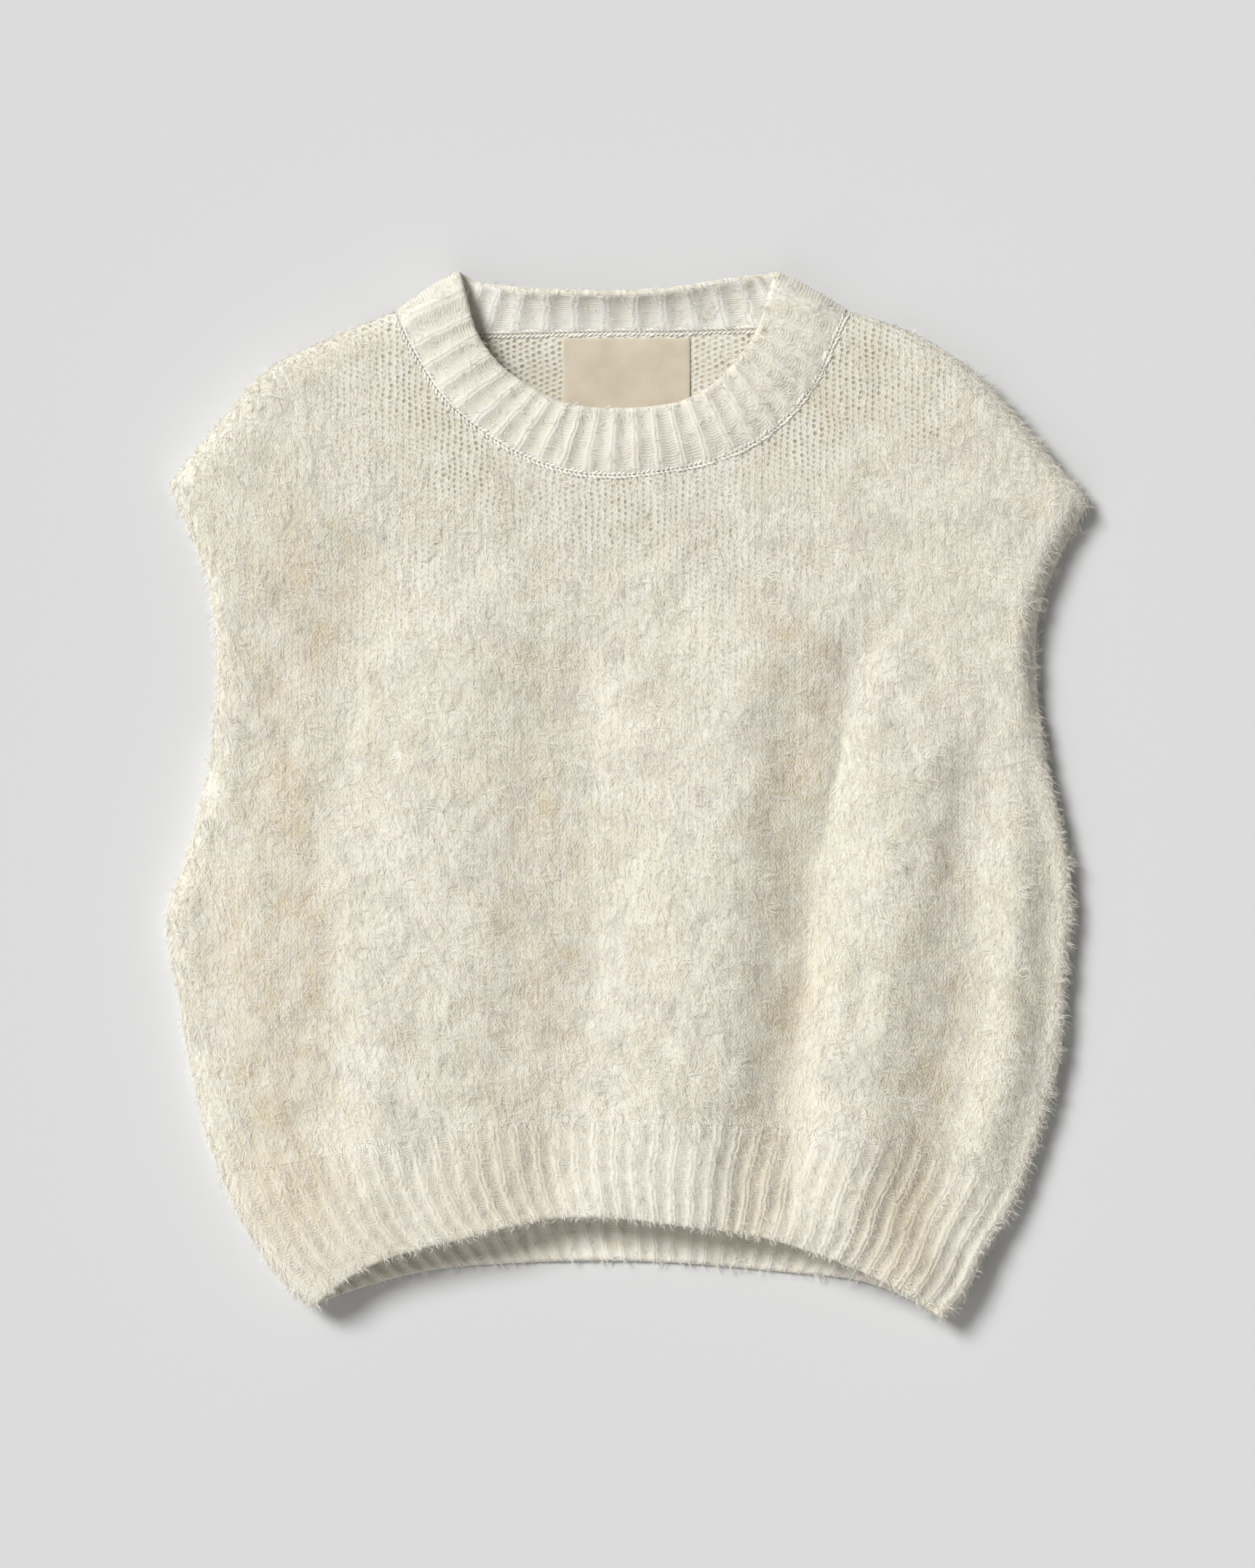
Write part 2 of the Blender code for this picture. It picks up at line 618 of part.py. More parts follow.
def make_neckband(front_rim, back_rim, collection):
    """The ribbed ring from the neck seam to its free edge."""
    shares, seam, normals = back_rim
    back_rim = (1 - shares[::-1], seam[::-1], normals[::-1])
    halves = (
        band_half(FRONT_BAND, front_rim, NECK_FRONT_RIBS),
        band_half(BACK_BAND, back_rim, NECK_BACK_RIBS),
    )
    seam, rim, edge, wave, counter = (
        np.concatenate([part[:-1] for part in pair]) for pair in zip(*halves)
    )
    up = np.linspace(0.0, 1.0, NECK_BAND_STEPS + 1)[None, :, None]
    middle = (1 - up) * seam[:, None] + up * edge[:, None]
    normals = grid_normals(middle)
    middle = middle + normals * NECK_BOW * 4 * up * (1 - up)
    normals = grid_normals(middle)
    normals[:, 0] = rim
    raised = np.array([0.0] + [1.0] * (NECK_BAND_STEPS - 1) + [EDGE_RIB_SHARE])
    outer_half = WALL / 2 + NECK_RIB_RISE * (wave[:, None] * raised)[..., None]
    inner_half = WALL / 2 + NECK_RIB_RISE * (counter[:, None] * raised)[..., None]
    wall_object(
        "neckband",
        middle + normals * outer_half,
        middle - normals * inner_half,
        True,
        RIB_KNIT,
        collection,
    )


def grid_normals(points):
    """Outward normals of a ring of points, from their neighbours."""
    along = unit(points - np.roll(points, 1, axis=0)) + unit(np.roll(points, -1, axis=0) - points)
    upward = np.gradient(points, axis=1)
    return unit(np.cross(unit(along), unit(upward)))


def make_label(layers, collection):
    """Plain satin label on the inner face of the back, below the back neck seam."""
    x = LABEL_MIDDLE_X + LABEL_WIDTH * (np.linspace(0.0, 1.0, LABEL_COLUMNS + 1) - 0.5)
    y = LABEL_TOP_Y - LABEL_LENGTH * np.linspace(1.0, 0.0, LABEL_ROWS + 1)
    plan = np.stack(np.meshgrid(x, y, indexing="ij"), -1)
    lower = layers.back_height(plan) + WALL / 2 + SEAM_GAP
    under = np.concatenate([plan, lower[..., None]], -1)
    over = under + np.array([0.0, 0.0, LABEL_THICKNESS])
    wall_object("neck_label", over, under, False, SATIN, collection)


def stand_on_origin(collection):
    """Moves the pieces together so that the middle of their box is over the origin."""
    corners = np.array([vertex.co for piece in collection.objects for vertex in piece.data.vertices])
    middle = (corners.min(0) + corners.max(0)) / 2
    for piece in collection.objects:
        for vertex in piece.data.vertices:
            vertex.co.x -= middle[0]
            vertex.co.y -= middle[1]


def main():
    clear_scene()
    collection = bpy.data.collections.new(COLLECTION_NAME)
    bpy.context.scene.collection.children.link(collection)
    layers = Layers()
    front_rib = rib_line(FRONT_RIB_LINE, layers)
    back_rib = rib_line(BACK_RIB_LINE, layers)
    front_steps = (FRONT_SHOULDER_STEPS, FRONT_NECK_STEPS, FRONT_ROW_STEPS)
    back_steps = (BACK_SHOULDER_STEPS, BACK_NECK_STEPS, BACK_ROW_STEPS)
    front_rim = make_panel(
        "front_panel", layers, layers.front_neck, front_rib, layers.front_height, 1, front_steps, collection
    )
    back_rim = make_panel(
        "back_panel", layers, layers.back_neck, back_rib, layers.back_height, -1, back_steps, collection
    )
    panel_shares = side_shares(BACK_SHOULDER_STEPS, BACK_NECK_STEPS)[0]
    edge_shares = panel_shares[(panel_shares < EDGE_COLUMNS[-1]) | (panel_shares > 1 - EDGE_COLUMNS[-1])]
    make_hem_rib(
        "hem_rib_front", layers, FRONT_HEM_EDGE, front_rib, layers.front_height, 1, edge_shares, collection
    )
    make_hem_rib(
        "hem_rib_back", layers, BACK_HEM_EDGE, back_rib, layers.back_height, -1, edge_shares, collection
    )
    make_neckband(front_rim, back_rim, collection)
    make_label(layers, collection)
    stand_on_origin(collection)


if __name__ == "__main__":
    main()
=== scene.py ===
"""Looks of a cropped sleeveless pullover in brushed ivory knit, laid flat on its back.

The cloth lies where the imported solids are: front and back are two layers over one plan.
Each piece here is a fine wall on its share of a layer, with ribs, rounded free edges,
stitches and loose hairs. All lengths are in metres, X across, +Y to the neck, +Z up.
"""

import enum
import logging
import math
from dataclasses import dataclass, field, replace
from typing import Callable, Iterable, Sequence

import bmesh
import bpy
import numpy as np
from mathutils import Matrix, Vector, noise


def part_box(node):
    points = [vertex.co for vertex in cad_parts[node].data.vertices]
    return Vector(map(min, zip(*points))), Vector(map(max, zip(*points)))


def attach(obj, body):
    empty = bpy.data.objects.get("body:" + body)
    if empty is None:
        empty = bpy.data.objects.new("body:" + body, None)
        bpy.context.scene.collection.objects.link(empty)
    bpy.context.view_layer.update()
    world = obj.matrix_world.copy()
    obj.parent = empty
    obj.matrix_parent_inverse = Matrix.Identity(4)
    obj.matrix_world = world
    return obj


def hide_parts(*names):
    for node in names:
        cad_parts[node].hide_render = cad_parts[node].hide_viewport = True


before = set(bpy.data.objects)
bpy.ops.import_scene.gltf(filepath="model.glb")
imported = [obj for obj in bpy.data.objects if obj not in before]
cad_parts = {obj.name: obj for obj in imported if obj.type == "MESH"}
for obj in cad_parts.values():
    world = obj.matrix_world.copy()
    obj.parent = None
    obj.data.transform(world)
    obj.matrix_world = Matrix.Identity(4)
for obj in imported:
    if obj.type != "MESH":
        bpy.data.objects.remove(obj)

LOG = logging.getLogger("pullover")
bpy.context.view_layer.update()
BODY = "root"

Socket = bpy.types.NodeSocket
Color = tuple[float, float, float]
Height = Callable[[np.ndarray], np.ndarray]

# --------------------------------------------------------------------------- plan

LINE_SAMPLES = 240
COARSE_SAMPLES = 25  # enough for soft forms
CHUNK = 4000


def fade(share: np.ndarray) -> np.ndarray:
    """Falls from 1 at share 0 to 0 at share 1 and past it, level at both ends."""
    share = np.clip(share, 0.0, 1.0)
    return 1 - share * share * (3 - 2 * share)


def arch(share: np.ndarray) -> np.ndarray:
    """Quarter circle: rises upright from 0 and is level from share 1 on."""
    return np.sqrt(1 - (1 - np.clip(share, 0.0, 1.0)) ** 2)


def unit(vectors: np.ndarray) -> np.ndarray:
    """The vectors at length 1."""
    return vectors / np.maximum(np.linalg.norm(vectors, axis=-1, keepdims=True), 1e-12)


def knots_along(points: np.ndarray) -> np.ndarray:
    """Length along a line of points, at each of them."""
    steps = np.linalg.norm(np.diff(points, axis=0), axis=1)
    return np.concatenate([[0.0], np.cumsum(steps)])


def smooth_points(knots: np.ndarray, rows: Sequence, samples: int = LINE_SAMPLES) -> np.ndarray:
    """Dense values of a smooth curve through rows.

    Args:
        knots: place of each row along the curve.
        rows: values that the curve passes.
        samples: how many values to make.

    Returns:
        One row of values for each sample.
    """
    rows = np.array(rows, float)
    slopes = np.gradient(rows, knots, axis=0)
    where = np.linspace(knots[0], knots[-1], samples)
    low = np.clip(np.searchsorted(knots, where) - 1, 0, len(knots) - 2)
    run = (knots[low + 1] - knots[low])[:, None]
    t = (where - knots[low])[:, None] / run
    start = (1 + 2 * t) * (1 - t) ** 2 * rows[low] + t * (1 - t) ** 2 * run * slopes[low]
    end = t * t * (3 - 2 * t) * rows[low + 1] - t * t * (1 - t) * run * slopes[low + 1]
    return start + end


class PlanLine:
    """A line in plan, read by its share of length from 0 to 1."""

    def __init__(self, points: Sequence, shares: np.ndarray | None = None) -> None:
        """Keeps the points, with their shares of the length unless shares are given."""
        self.points = np.asarray(points, float)
        knots = knots_along(self.points)
        self.shares = knots / knots[-1] if shares is None else shares

    @classmethod
    def through(cls, rows: Sequence, samples: int = LINE_SAMPLES) -> "PlanLine":
        """A smooth line through points of x and y."""
        points = np.array([row[:2] for row in rows], float)
        return cls(smooth_points(knots_along(points), points, samples))

    @classmethod
    def joined(cls, lines: Sequence["PlanLine"], ends: Sequence[float]) -> "PlanLine":
        """Lines one after the other, each filling its part of the shares."""
        points = np.concatenate([line.points for line in lines])
        parts = zip(lines, ends[:-1], ends[1:])
        return cls(points, np.concatenate([a + (b - a) * line.shares for line, a, b in parts]))

    def at(self, share: np.ndarray | float) -> np.ndarray:
        """Points at shares of the line."""
        return np.stack([np.interp(share, self.shares, self.points[:, k]) for k in (0, 1)], -1)

    def share_at_y(self, y: float) -> float:
        """Share at which a rising line passes y."""
        return float(np.interp(y, self.points[:, 1], self.shares))

    def part(self, first: float, last: float) -> "PlanLine":
        """The stretch between two shares, as a line of its own."""
        inside = (self.shares > first) & (self.shares < last)
        ends = self.at(np.array([first, last]))
        return PlanLine(np.concatenate([ends[:1], self.points[inside], ends[1:]]))

    def backwards(self) -> "PlanLine":
        """The same line from its other end."""
        return PlanLine(self.points[::-1], 1 - self.shares[::-1])

    def distance(self, plan: np.ndarray) -> np.ndarray:
        """Distance of each plan point from this line."""
        start = self.points[:-1]
        run = np.diff(self.points, axis=0)
        moving = (run * run).sum(-1) > 0
        start, run = start[moving], run[moving]
        square = (run * run).sum(-1)
        flat = plan.reshape(-1, 2)
        nearest = np.empty(len(flat))
        for first in range(0, len(flat), CHUNK):
            x = flat[first : first + CHUNK, None, 0] - start[:, 0]
            y = flat[first : first + CHUNK, None, 1] - start[:, 1]
            along = np.clip((x * run[:, 0] + y * run[:, 1]) / square, 0.0, 1.0)
            gap = (x - along * run[:, 0]) ** 2 + (y - along * run[:, 1]) ** 2
            nearest[first : first + CHUNK] = gap.min(1)
        return np.sqrt(nearest).reshape(plan.shape[:-1])


def soft_waves(plan: np.ndarray, size: float, seed: float) -> np.ndarray:
    """Broad smooth waves of about -1 to 1 over the plan, without a grid."""
    x, y = plan[..., 0] / size, plan[..., 1] / size
    waves = np.sin(x * 2.1 + 1.3 * np.sin(y * 1.7 + seed) + seed)
    return 0.5 * waves + 0.5 * np.sin(y * 2.3 + 1.1 * np.sin(x * 1.9 - seed) + 2.0 * seed)


@dataclass(frozen=True)
class Fold:
    """A soft fold of the front layer, along a line through three points."""

    top: tuple[float, float]
    middle: tuple[float, float]
    bottom: tuple[float, float]
    width: float
    rise: float


@dataclass(frozen=True)
class GarmentPlan:
    """Plan lines and heights of the garment as it lies."""

    wall: float = 0.0030
    seam_gap: float = 0.0003
    seam_height: float = 0.0075
    shoulder_crown: float = 0.0180
    belly_crown: float = 0.0260
    crown_top_y: float = 0.150
    crown_bottom_y: float = -0.110
    front_curl_run: float = 0.0120
    front_curl_rise: float = 0.0090
    back_curl_run: float = 0.0060
    crown_run: float = 0.090
    armhole_curl_run: float = 0.0100
    armhole_droop: float = 0.0045
    underarm_y: float = 0.036
    corner_lift: float = 0.0065
    corner_reach: float = 0.085
    corner_back_lift: float = 0.0060
    hem_arch: float = 0.0030
    hem_arch_reach: float = 0.110
    neck_lift: float = 0.0030
    neck_lift_reach: float = 0.030
    fold_fade_run: float = 0.035
    left_side: tuple = (
        (-0.1675, -0.2615), (-0.1790, -0.2520), (-0.1976, -0.2265), (-0.2185, -0.1809),
        (-0.2300, -0.1353), (-0.2362, -0.0980), (-0.2422, -0.0600), (-0.2318, -0.0290),
        (-0.2235, 0.0015), (-0.2180, 0.0320), (-0.2155, 0.0700), (-0.2210, 0.1200),
        (-0.2305, 0.1440), (-0.2405, 0.1670),
    )  # fmt: skip
    right_side: tuple = (
        (0.1625, -0.2680), (0.1722, -0.2565), (0.1838, -0.2340), (0.1990, -0.2100),
        (0.2130, -0.1700), (0.2222, -0.1353), (0.2258, -0.0900), (0.2287, -0.0480),
        (0.2230, -0.0110), (0.2150, 0.0250), (0.2105, 0.0600), (0.2115, 0.1000),
        (0.2225, 0.1290), (0.2375, 0.1580),
    )  # fmt: skip
    left_shoulder: tuple = (
        (-0.2405, 0.1670), (-0.2150, 0.1978), (-0.1865, 0.2277), (-0.1550, 0.2430),
        (-0.1231, 0.2560),
    )  # fmt: skip
    right_shoulder: tuple = (
        (0.2375, 0.1580), (0.2160, 0.1825), (0.1910, 0.2125), (0.1500, 0.2430),
        (0.1121, 0.2565),
    )  # fmt: skip
    front_hem: tuple = (
        (-0.1675, -0.2615), (-0.1444, -0.2436), (-0.0870, -0.2246), (-0.0350, -0.2139),
        (0.0293, -0.2181), (0.0798, -0.2272), (0.1246, -0.2443), (0.1525, -0.2600),
        (0.1625, -0.2680),
    )  # fmt: skip
    back_hem: tuple = (
        (-0.1675, -0.2615), (-0.1501, -0.2550), (-0.1159, -0.2455), (-0.0555, -0.2395),
        (-0.0068, -0.2385), (0.0783, -0.2443), (0.1269, -0.2508), (0.1500, -0.2605),
        (0.1625, -0.2680),
    )  # fmt: skip
    left_rib_y: float = -0.194
    right_rib_y: float = -0.203
    front_rib_line: tuple = (
        (-0.160, -0.184), (-0.100, -0.172), (0.000, -0.166), (0.120, -0.176), (0.160, -0.187),
    )  # fmt: skip
    back_rib_line: tuple = ((-0.150, -0.187), (0.000, -0.175), (0.150, -0.190))
    # Neckband, from shoulder to shoulder: seam x and y, then free edge x, y and height
    front_band: tuple = (
        (-0.1231, 0.2560, -0.0912, 0.2762, 0.0185), (-0.1189, 0.2455, -0.0870, 0.2599, 0.0190),
        (-0.1098, 0.2284, -0.0825, 0.2447, 0.0190), (-0.0977, 0.2105, -0.0711, 0.2284, 0.0190),
        (-0.0794, 0.1946, -0.0559, 0.2170, 0.0192), (-0.0559, 0.1805, -0.0395, 0.2082, 0.0195),
        (-0.0319, 0.1725, -0.0232, 0.2048, 0.0198), (-0.0080, 0.1706, -0.0065, 0.2041, 0.0200),
        (0.0163, 0.1730, 0.0118, 0.2052, 0.0198), (0.0403, 0.1778, 0.0289, 0.2090, 0.0195),
        (0.0631, 0.1873, 0.0452, 0.2189, 0.0192), (0.0821, 0.2022, 0.0566, 0.2314, 0.0190),
        (0.0954, 0.2193, 0.0635, 0.2409, 0.0190), (0.1037, 0.2371, 0.0688, 0.2523, 0.0190),
        (0.1083, 0.2478, 0.0718, 0.2626, 0.0190), (0.1121, 0.2565, 0.0756, 0.2759, 0.0185),
    )  # fmt: skip
    back_band: tuple = (
        (0.1121, 0.2565, 0.0756, 0.2759, 0.0080), (0.0897, 0.2508, 0.0680, 0.2751, 0.0092),
        (0.0673, 0.2481, 0.0581, 0.2736, 0.0125), (0.0460, 0.2474, 0.0403, 0.2706, 0.0148),
        (0.0213, 0.2466, 0.0186, 0.2671, 0.0164), (-0.0046, 0.2466, -0.0046, 0.2656, 0.0170),
        (-0.0300, 0.2462, -0.0300, 0.2660, 0.0167), (-0.0566, 0.2455, -0.0536, 0.2671, 0.0152),
        (-0.0783, 0.2451, -0.0688, 0.2690, 0.0128), (-0.1022, 0.2478, -0.0832, 0.2717, 0.0096),
        (-0.1231, 0.2560, -0.0912, 0.2762, 0.0080),
    )  # fmt: skip
    folds: tuple[Fold, ...] = (
        Fold((-0.1725, 0.1079), (-0.1858, 0.0395), (-0.1950, -0.0400), 0.028, -0.0040),
        Fold((-0.1930, -0.1350), (-0.1980, -0.1600), (-0.1990, -0.1850), 0.018, -0.0035),
        Fold((-0.1345, -0.0670), (-0.1345, -0.1500), (-0.1345, -0.2270), 0.014, 0.0045),
        Fold((-0.0490, 0.0430), (-0.0560, -0.0900), (-0.1020, -0.2040), 0.026, -0.0050),
        Fold((0.0156, 0.0205), (0.0118, -0.1087), (-0.0034, -0.2037), 0.026, 0.0040),
        Fold((0.0840, 0.0430), (0.0764, -0.0821), (0.0600, -0.2075), 0.018, -0.0075),
        Fold((0.1030, -0.0400), (0.1030, -0.1429), (0.0840, -0.2037), 0.014, 0.0040),
        Fold((0.1638, 0.0053), (0.1550, -0.1200), (0.1296, -0.2113), 0.022, -0.0045),
        Fold((0.1960, -0.0290), (0.1990, -0.0935), (0.1562, -0.2455), 0.015, 0.0035),
    )
    # Creases that only the visible cloth has, beside the softened folds above
    creases: tuple[Fold, ...] = (
        Fold((-0.1400, 0.1200), (-0.1520, 0.0000), (-0.1600, -0.1500), 0.025, -0.0040),
        Fold((-0.0800, 0.0900), (-0.0850, -0.0500), (-0.0950, -0.1900), 0.030, 0.0026),
        Fold((-0.0230, 0.0700), (-0.0200, -0.0800), (-0.0420, -0.2050), 0.022, -0.0038),
        Fold((0.0600, 0.0700), (0.0480, -0.0600), (0.0310, -0.2050), 0.026, 0.0042),
        Fold((0.1170, 0.0750), (0.0960, -0.0450), (0.0810, -0.2100), 0.015, -0.0062),
        Fold((0.1560, 0.0200), (0.1330, -0.0900), (0.1160, -0.2150), 0.017, 0.0036),
        Fold((0.1800, 0.0200), (0.1740, -0.1000), (0.1580, -0.2200), 0.016, -0.0036),
        Fold((0.2040, 0.0000), (0.2010, -0.0900), (0.1900, -0.2200), 0.012, 0.0022),
        Fold((-0.1990, -0.0300), (-0.1960, -0.1100), (-0.1830, -0.2000), 0.014, 0.0018),
        Fold((-0.2120, 0.1450), (-0.1980, 0.1350), (-0.1800, 0.1150), 0.010, -0.0016),
        Fold((-0.0950, 0.1250), (-0.0700, 0.1000), (-0.0450, 0.0900), 0.016, -0.0012),
    )
    fold_share: float = 0.42  # of the folds above, in the visible cloth
    flank_drop: float = 0.0042
    flank_run: float = 0.030
    edge_droop: float = 0.0068  # of the armhole edge that faces away from the light
    edge_run: float = 0.0085
    # Painted shade bands, where the cloth is tinted warm and dark and fewer hairs grow: a line, its
    # width and its strength
    shade_bands: tuple[Fold, ...] = (
        Fold((-0.1680, 0.1250), (-0.1780, 0.0100), (-0.1860, -0.1000), 0.028, 0.80),
        Fold((-0.1950, -0.0900), (-0.1850, -0.1500), (-0.1780, -0.2050), 0.028, 0.75),
        Fold((-0.0500, 0.0500), (-0.0450, -0.0700), (-0.0700, -0.2000), 0.034, 0.56),
        Fold((0.0900, 0.0850), (0.0830, -0.0500), (0.0660, -0.2150), 0.017, 0.85),
        Fold((0.1620, -0.0500), (0.1570, -0.1300), (0.1430, -0.2250), 0.018, 0.75),
        Fold((0.0900, 0.2200), (0.1150, 0.2150), (0.1450, 0.2050), 0.024, 0.35),
        Fold((-0.1700, -0.1950), (-0.1500, -0.2200), (-0.1350, -0.2450), 0.028, 0.35),
        Fold((0.1250, -0.2000), (0.1350, -0.2250), (0.1450, -0.2500), 0.024, 0.40),
    )
    crease_sway: float = 0.006


class Layers:
    """The plan lines as curves, and the heights of the two layers over them."""

    def __init__(self, plan: GarmentPlan) -> None:
        """Makes the curves of the plan."""
        self.plan = plan
        self.left_side = PlanLine.through(plan.left_side)
        self.right_side = PlanLine.through(plan.right_side)
        self.left_shoulder = PlanLine.through(plan.left_shoulder)
        self.right_shoulder = PlanLine.through(plan.right_shoulder)
        self.front_neck = PlanLine.through(plan.front_band)
        self.back_neck = PlanLine.through(plan.back_band[::-1])
        left_arm = self.left_side.share_at_y(plan.underarm_y)
        right_arm = self.right_side.share_at_y(plan.underarm_y)
        ends = (plan.front_band[0], plan.front_band[-1])
        self.fold_seams = [
            self.left_side.part(0.0, left_arm),
            self.right_side.part(0.0, right_arm),
            self.left_shoulder,
            self.right_shoulder,
            *[PlanLine((row[:2], row[2:4])) for row in ends],
        ]
        self.armholes = [self.left_side.part(left_arm, 1.0), self.right_side.part(right_arm, 1.0)]
        self.corners = np.array([plan.left_side[0], plan.right_side[0]])
        self.hem_middle = PlanLine.through(plan.front_hem[2:6], COARSE_SAMPLES)
        self.folds = [self.fold_line(fold) for fold in plan.folds]
        self.creases = [self.fold_line(crease) for crease in plan.creases]
        self.bands = [self.fold_line(band) for band in plan.shade_bands]

    @staticmethod
    def fold_line(fold: Fold) -> tuple[PlanLine, Fold]:
        """A fold with the curve that it follows."""
        return PlanLine.through((fold.top, fold.middle, fold.bottom), COARSE_SAMPLES), fold

    def seam_distance(self, plan: np.ndarray) -> np.ndarray:
        """Distance from the nearest seam at which the layers turn over."""
        return np.min([line.distance(plan) for line in self.fold_seams], axis=0)

    def armhole_distance(self, plan: np.ndarray) -> np.ndarray:
        """Distance from the nearest armhole edge."""
        return np.min([line.distance(plan) for line in self.armholes], axis=0)

    def corner_share(self, plan: np.ndarray) -> np.ndarray:
        """1 at a hem corner, down to 0 at its reach."""
        reach = np.linalg.norm(plan[..., None, :] - self.corners, axis=-1).min(-1)
        return fade(reach / self.plan.corner_reach)

    def seam_height(self, plan: np.ndarray) -> np.ndarray:
        """Height of the side and shoulder seams."""
        return self.plan.seam_height + self.plan.corner_lift * self.corner_share(plan)

    def front_height(self, plan: np.ndarray, fold_share: float = 1.0) -> np.ndarray:
        """Height of the middle of the front layer, with a share of its folds."""
        sizes = self.plan
        seam = self.seam_distance(plan)
        low = fade((sizes.crown_top_y - plan[..., 1]) / (sizes.crown_top_y - sizes.crown_bottom_y))
        crown = sizes.belly_crown + (sizes.shoulder_crown - sizes.belly_crown) * low
        curl = arch(seam / sizes.front_curl_run)
        inward = 1 - fade(seam / sizes.crown_run)
        height = self.seam_height(plan) + sizes.seam_gap / 2 + sizes.front_curl_rise * curl
        height = height + (crown - sizes.seam_height - sizes.front_curl_rise) * inward
        for line, fold in self.folds:
            soft = np.exp(-((line.distance(plan) / fold.width) ** 2))
            height = height + fold_share * fold.rise * soft * (1 - fade(seam / sizes.fold_fade_run))
        hem = self.hem_middle.distance(plan)
        height = height + sizes.hem_arch * fade(hem / sizes.hem_arch_reach) * inward
        from_armhole = self.armhole_distance(plan) / sizes.armhole_curl_run
        droop = sizes.armhole_droop * (1 - arch(from_armhole))
        return height - droop * curl

    def cloth_height(self, plan: np.ndarray) -> np.ndarray:
        """Height of the middle of the visible front, with its own creases."""
        sizes = self.plan
        seam = self.seam_distance(plan)
        calm = 1 - fade(seam / sizes.fold_fade_run)
        sway = sizes.crease_sway * soft_waves(plan, 0.045, 3.0)
        height = self.front_height(plan, sizes.fold_share)
        for line, crease in self.creases:
            away = line.distance(plan)
            swayed = away + sway * (1 - np.exp(-away / 0.004))
            height = height + crease.rise * np.exp(-((swayed / crease.width) ** 2)) * calm
        flank = self.right_side.distance(plan)
        low = fade((plan[..., 1] + 0.010) / 0.070)
        drop = fade(flank / sizes.flank_run) * (1 - fade(seam / 0.011)) * low
        edge = fade(self.armholes[1].distance(plan) / sizes.edge_run)
        return height - sizes.flank_drop * drop - sizes.edge_droop * edge * (1 - fade(seam / 0.016))

    def painted_shade(self, plan: np.ndarray) -> np.ndarray:
        """Painted shade along the shade bands, from 0 to 1."""
        shown = np.zeros(plan.shape[:-1])
        for line, band in self.bands:
            shown = shown + band.rise * np.exp(-((line.distance(plan) / band.width) ** 2))
        uneven = 1 + 0.55 * rough_field(plan, 0.020, 51.0, 3)
        return np.clip(shown * uneven, 0.0, 1.0)

    def back_height(self, plan: np.ndarray) -> np.ndarray:
        """Height of the middle of the back layer."""
        sizes = self.plan
        level = sizes.wall / 2 + sizes.corner_back_lift * self.corner_share(plan)
        from_neck = self.back_neck.distance(plan) / sizes.neck_lift_reach
        level = level + sizes.neck_lift * fade(from_neck)
        climb = self.seam_height(plan) - sizes.seam_gap / 2 - level
        return level + climb * (1 - arch(self.seam_distance(plan) / sizes.back_curl_run))

    def rib_line(self, rows: Sequence) -> PlanLine:
        """Line where the hem ribs begin, from side seam to side seam."""
        left = self.left_side.at(self.left_side.share_at_y(self.plan.left_rib_y))
        right = self.right_side.at(self.right_side.share_at_y(self.plan.right_rib_y))
        return PlanLine.through((tuple(left), *rows, tuple(right)))

    def sides(self, high: bool) -> list[PlanLine]:
        """The two side lines above the rib line, or below it where high is False."""
        ends = (self.left_side, self.plan.left_rib_y), (self.right_side, self.plan.right_rib_y)
        shares = [(line, line.share_at_y(y)) for line, y in ends]
        return [line.part(s, 1.0) if high else line.part(0.0, s) for line, s in shares]


class Patch:
    """A four-sided stretch of one layer, read by its shares across and up."""

    TINY = 1e-7

    def __init__(
        self, bottom: PlanLine, top: PlanLine, left: PlanLine, right: PlanLine, height: Height
    ) -> None:
        """Keeps the four plan lines and the height over them."""
        self.bottom, self.top, self.left, self.right = bottom, top, left, right
        self.height = height

    def at(self, across: np.ndarray, up: np.ndarray) -> np.ndarray:
        """Points of the middle of the cloth."""
        across, up = np.broadcast_arrays(across, up)
        u, v = across[..., None], up[..., None]
        sides = (1 - v) * self.bottom.at(across) + v * self.top.at(across)
        sides = sides + (1 - u) * self.left.at(up) + u * self.right.at(up)
        low = (1 - u) * self.bottom.at(0.0) + u * self.bottom.at(1.0)
        high = (1 - u) * self.top.at(0.0) + u * self.top.at(1.0)
        plan = sides - (1 - v) * low - v * high
        return np.concatenate([plan, self.height(plan)[..., None]], -1)

    def grid(
        self, across: np.ndarray, up: np.ndarray, facing: int
    ) -> tuple[np.ndarray, np.ndarray]:
        """Middle points and outward normals.

        Args:
            across: shares across the patch.
            up: shares up the patch.
            facing: 1 on the front layer and -1 on the back.

        Returns:
            Points and normals, each of shape (across, up, 3).
        """
        across, up = np.meshgrid(across, up, indexing="ij")
        low_u, high_u = np.clip(across - self.TINY, 0, 1), np.clip(across + self.TINY, 0, 1)
        low_v, high_v = np.clip(up - self.TINY, 0, 1), np.clip(up + self.TINY, 0, 1)
        along = self.at(high_u, up) - self.at(low_u, up)
        upward = self.at(across, high_v) - self.at(across, low_v)
        return self.at(across, up), unit(np.cross(unit(along), unit(upward))) * facing


# --------------------------------------------------------------------------- cloth walls


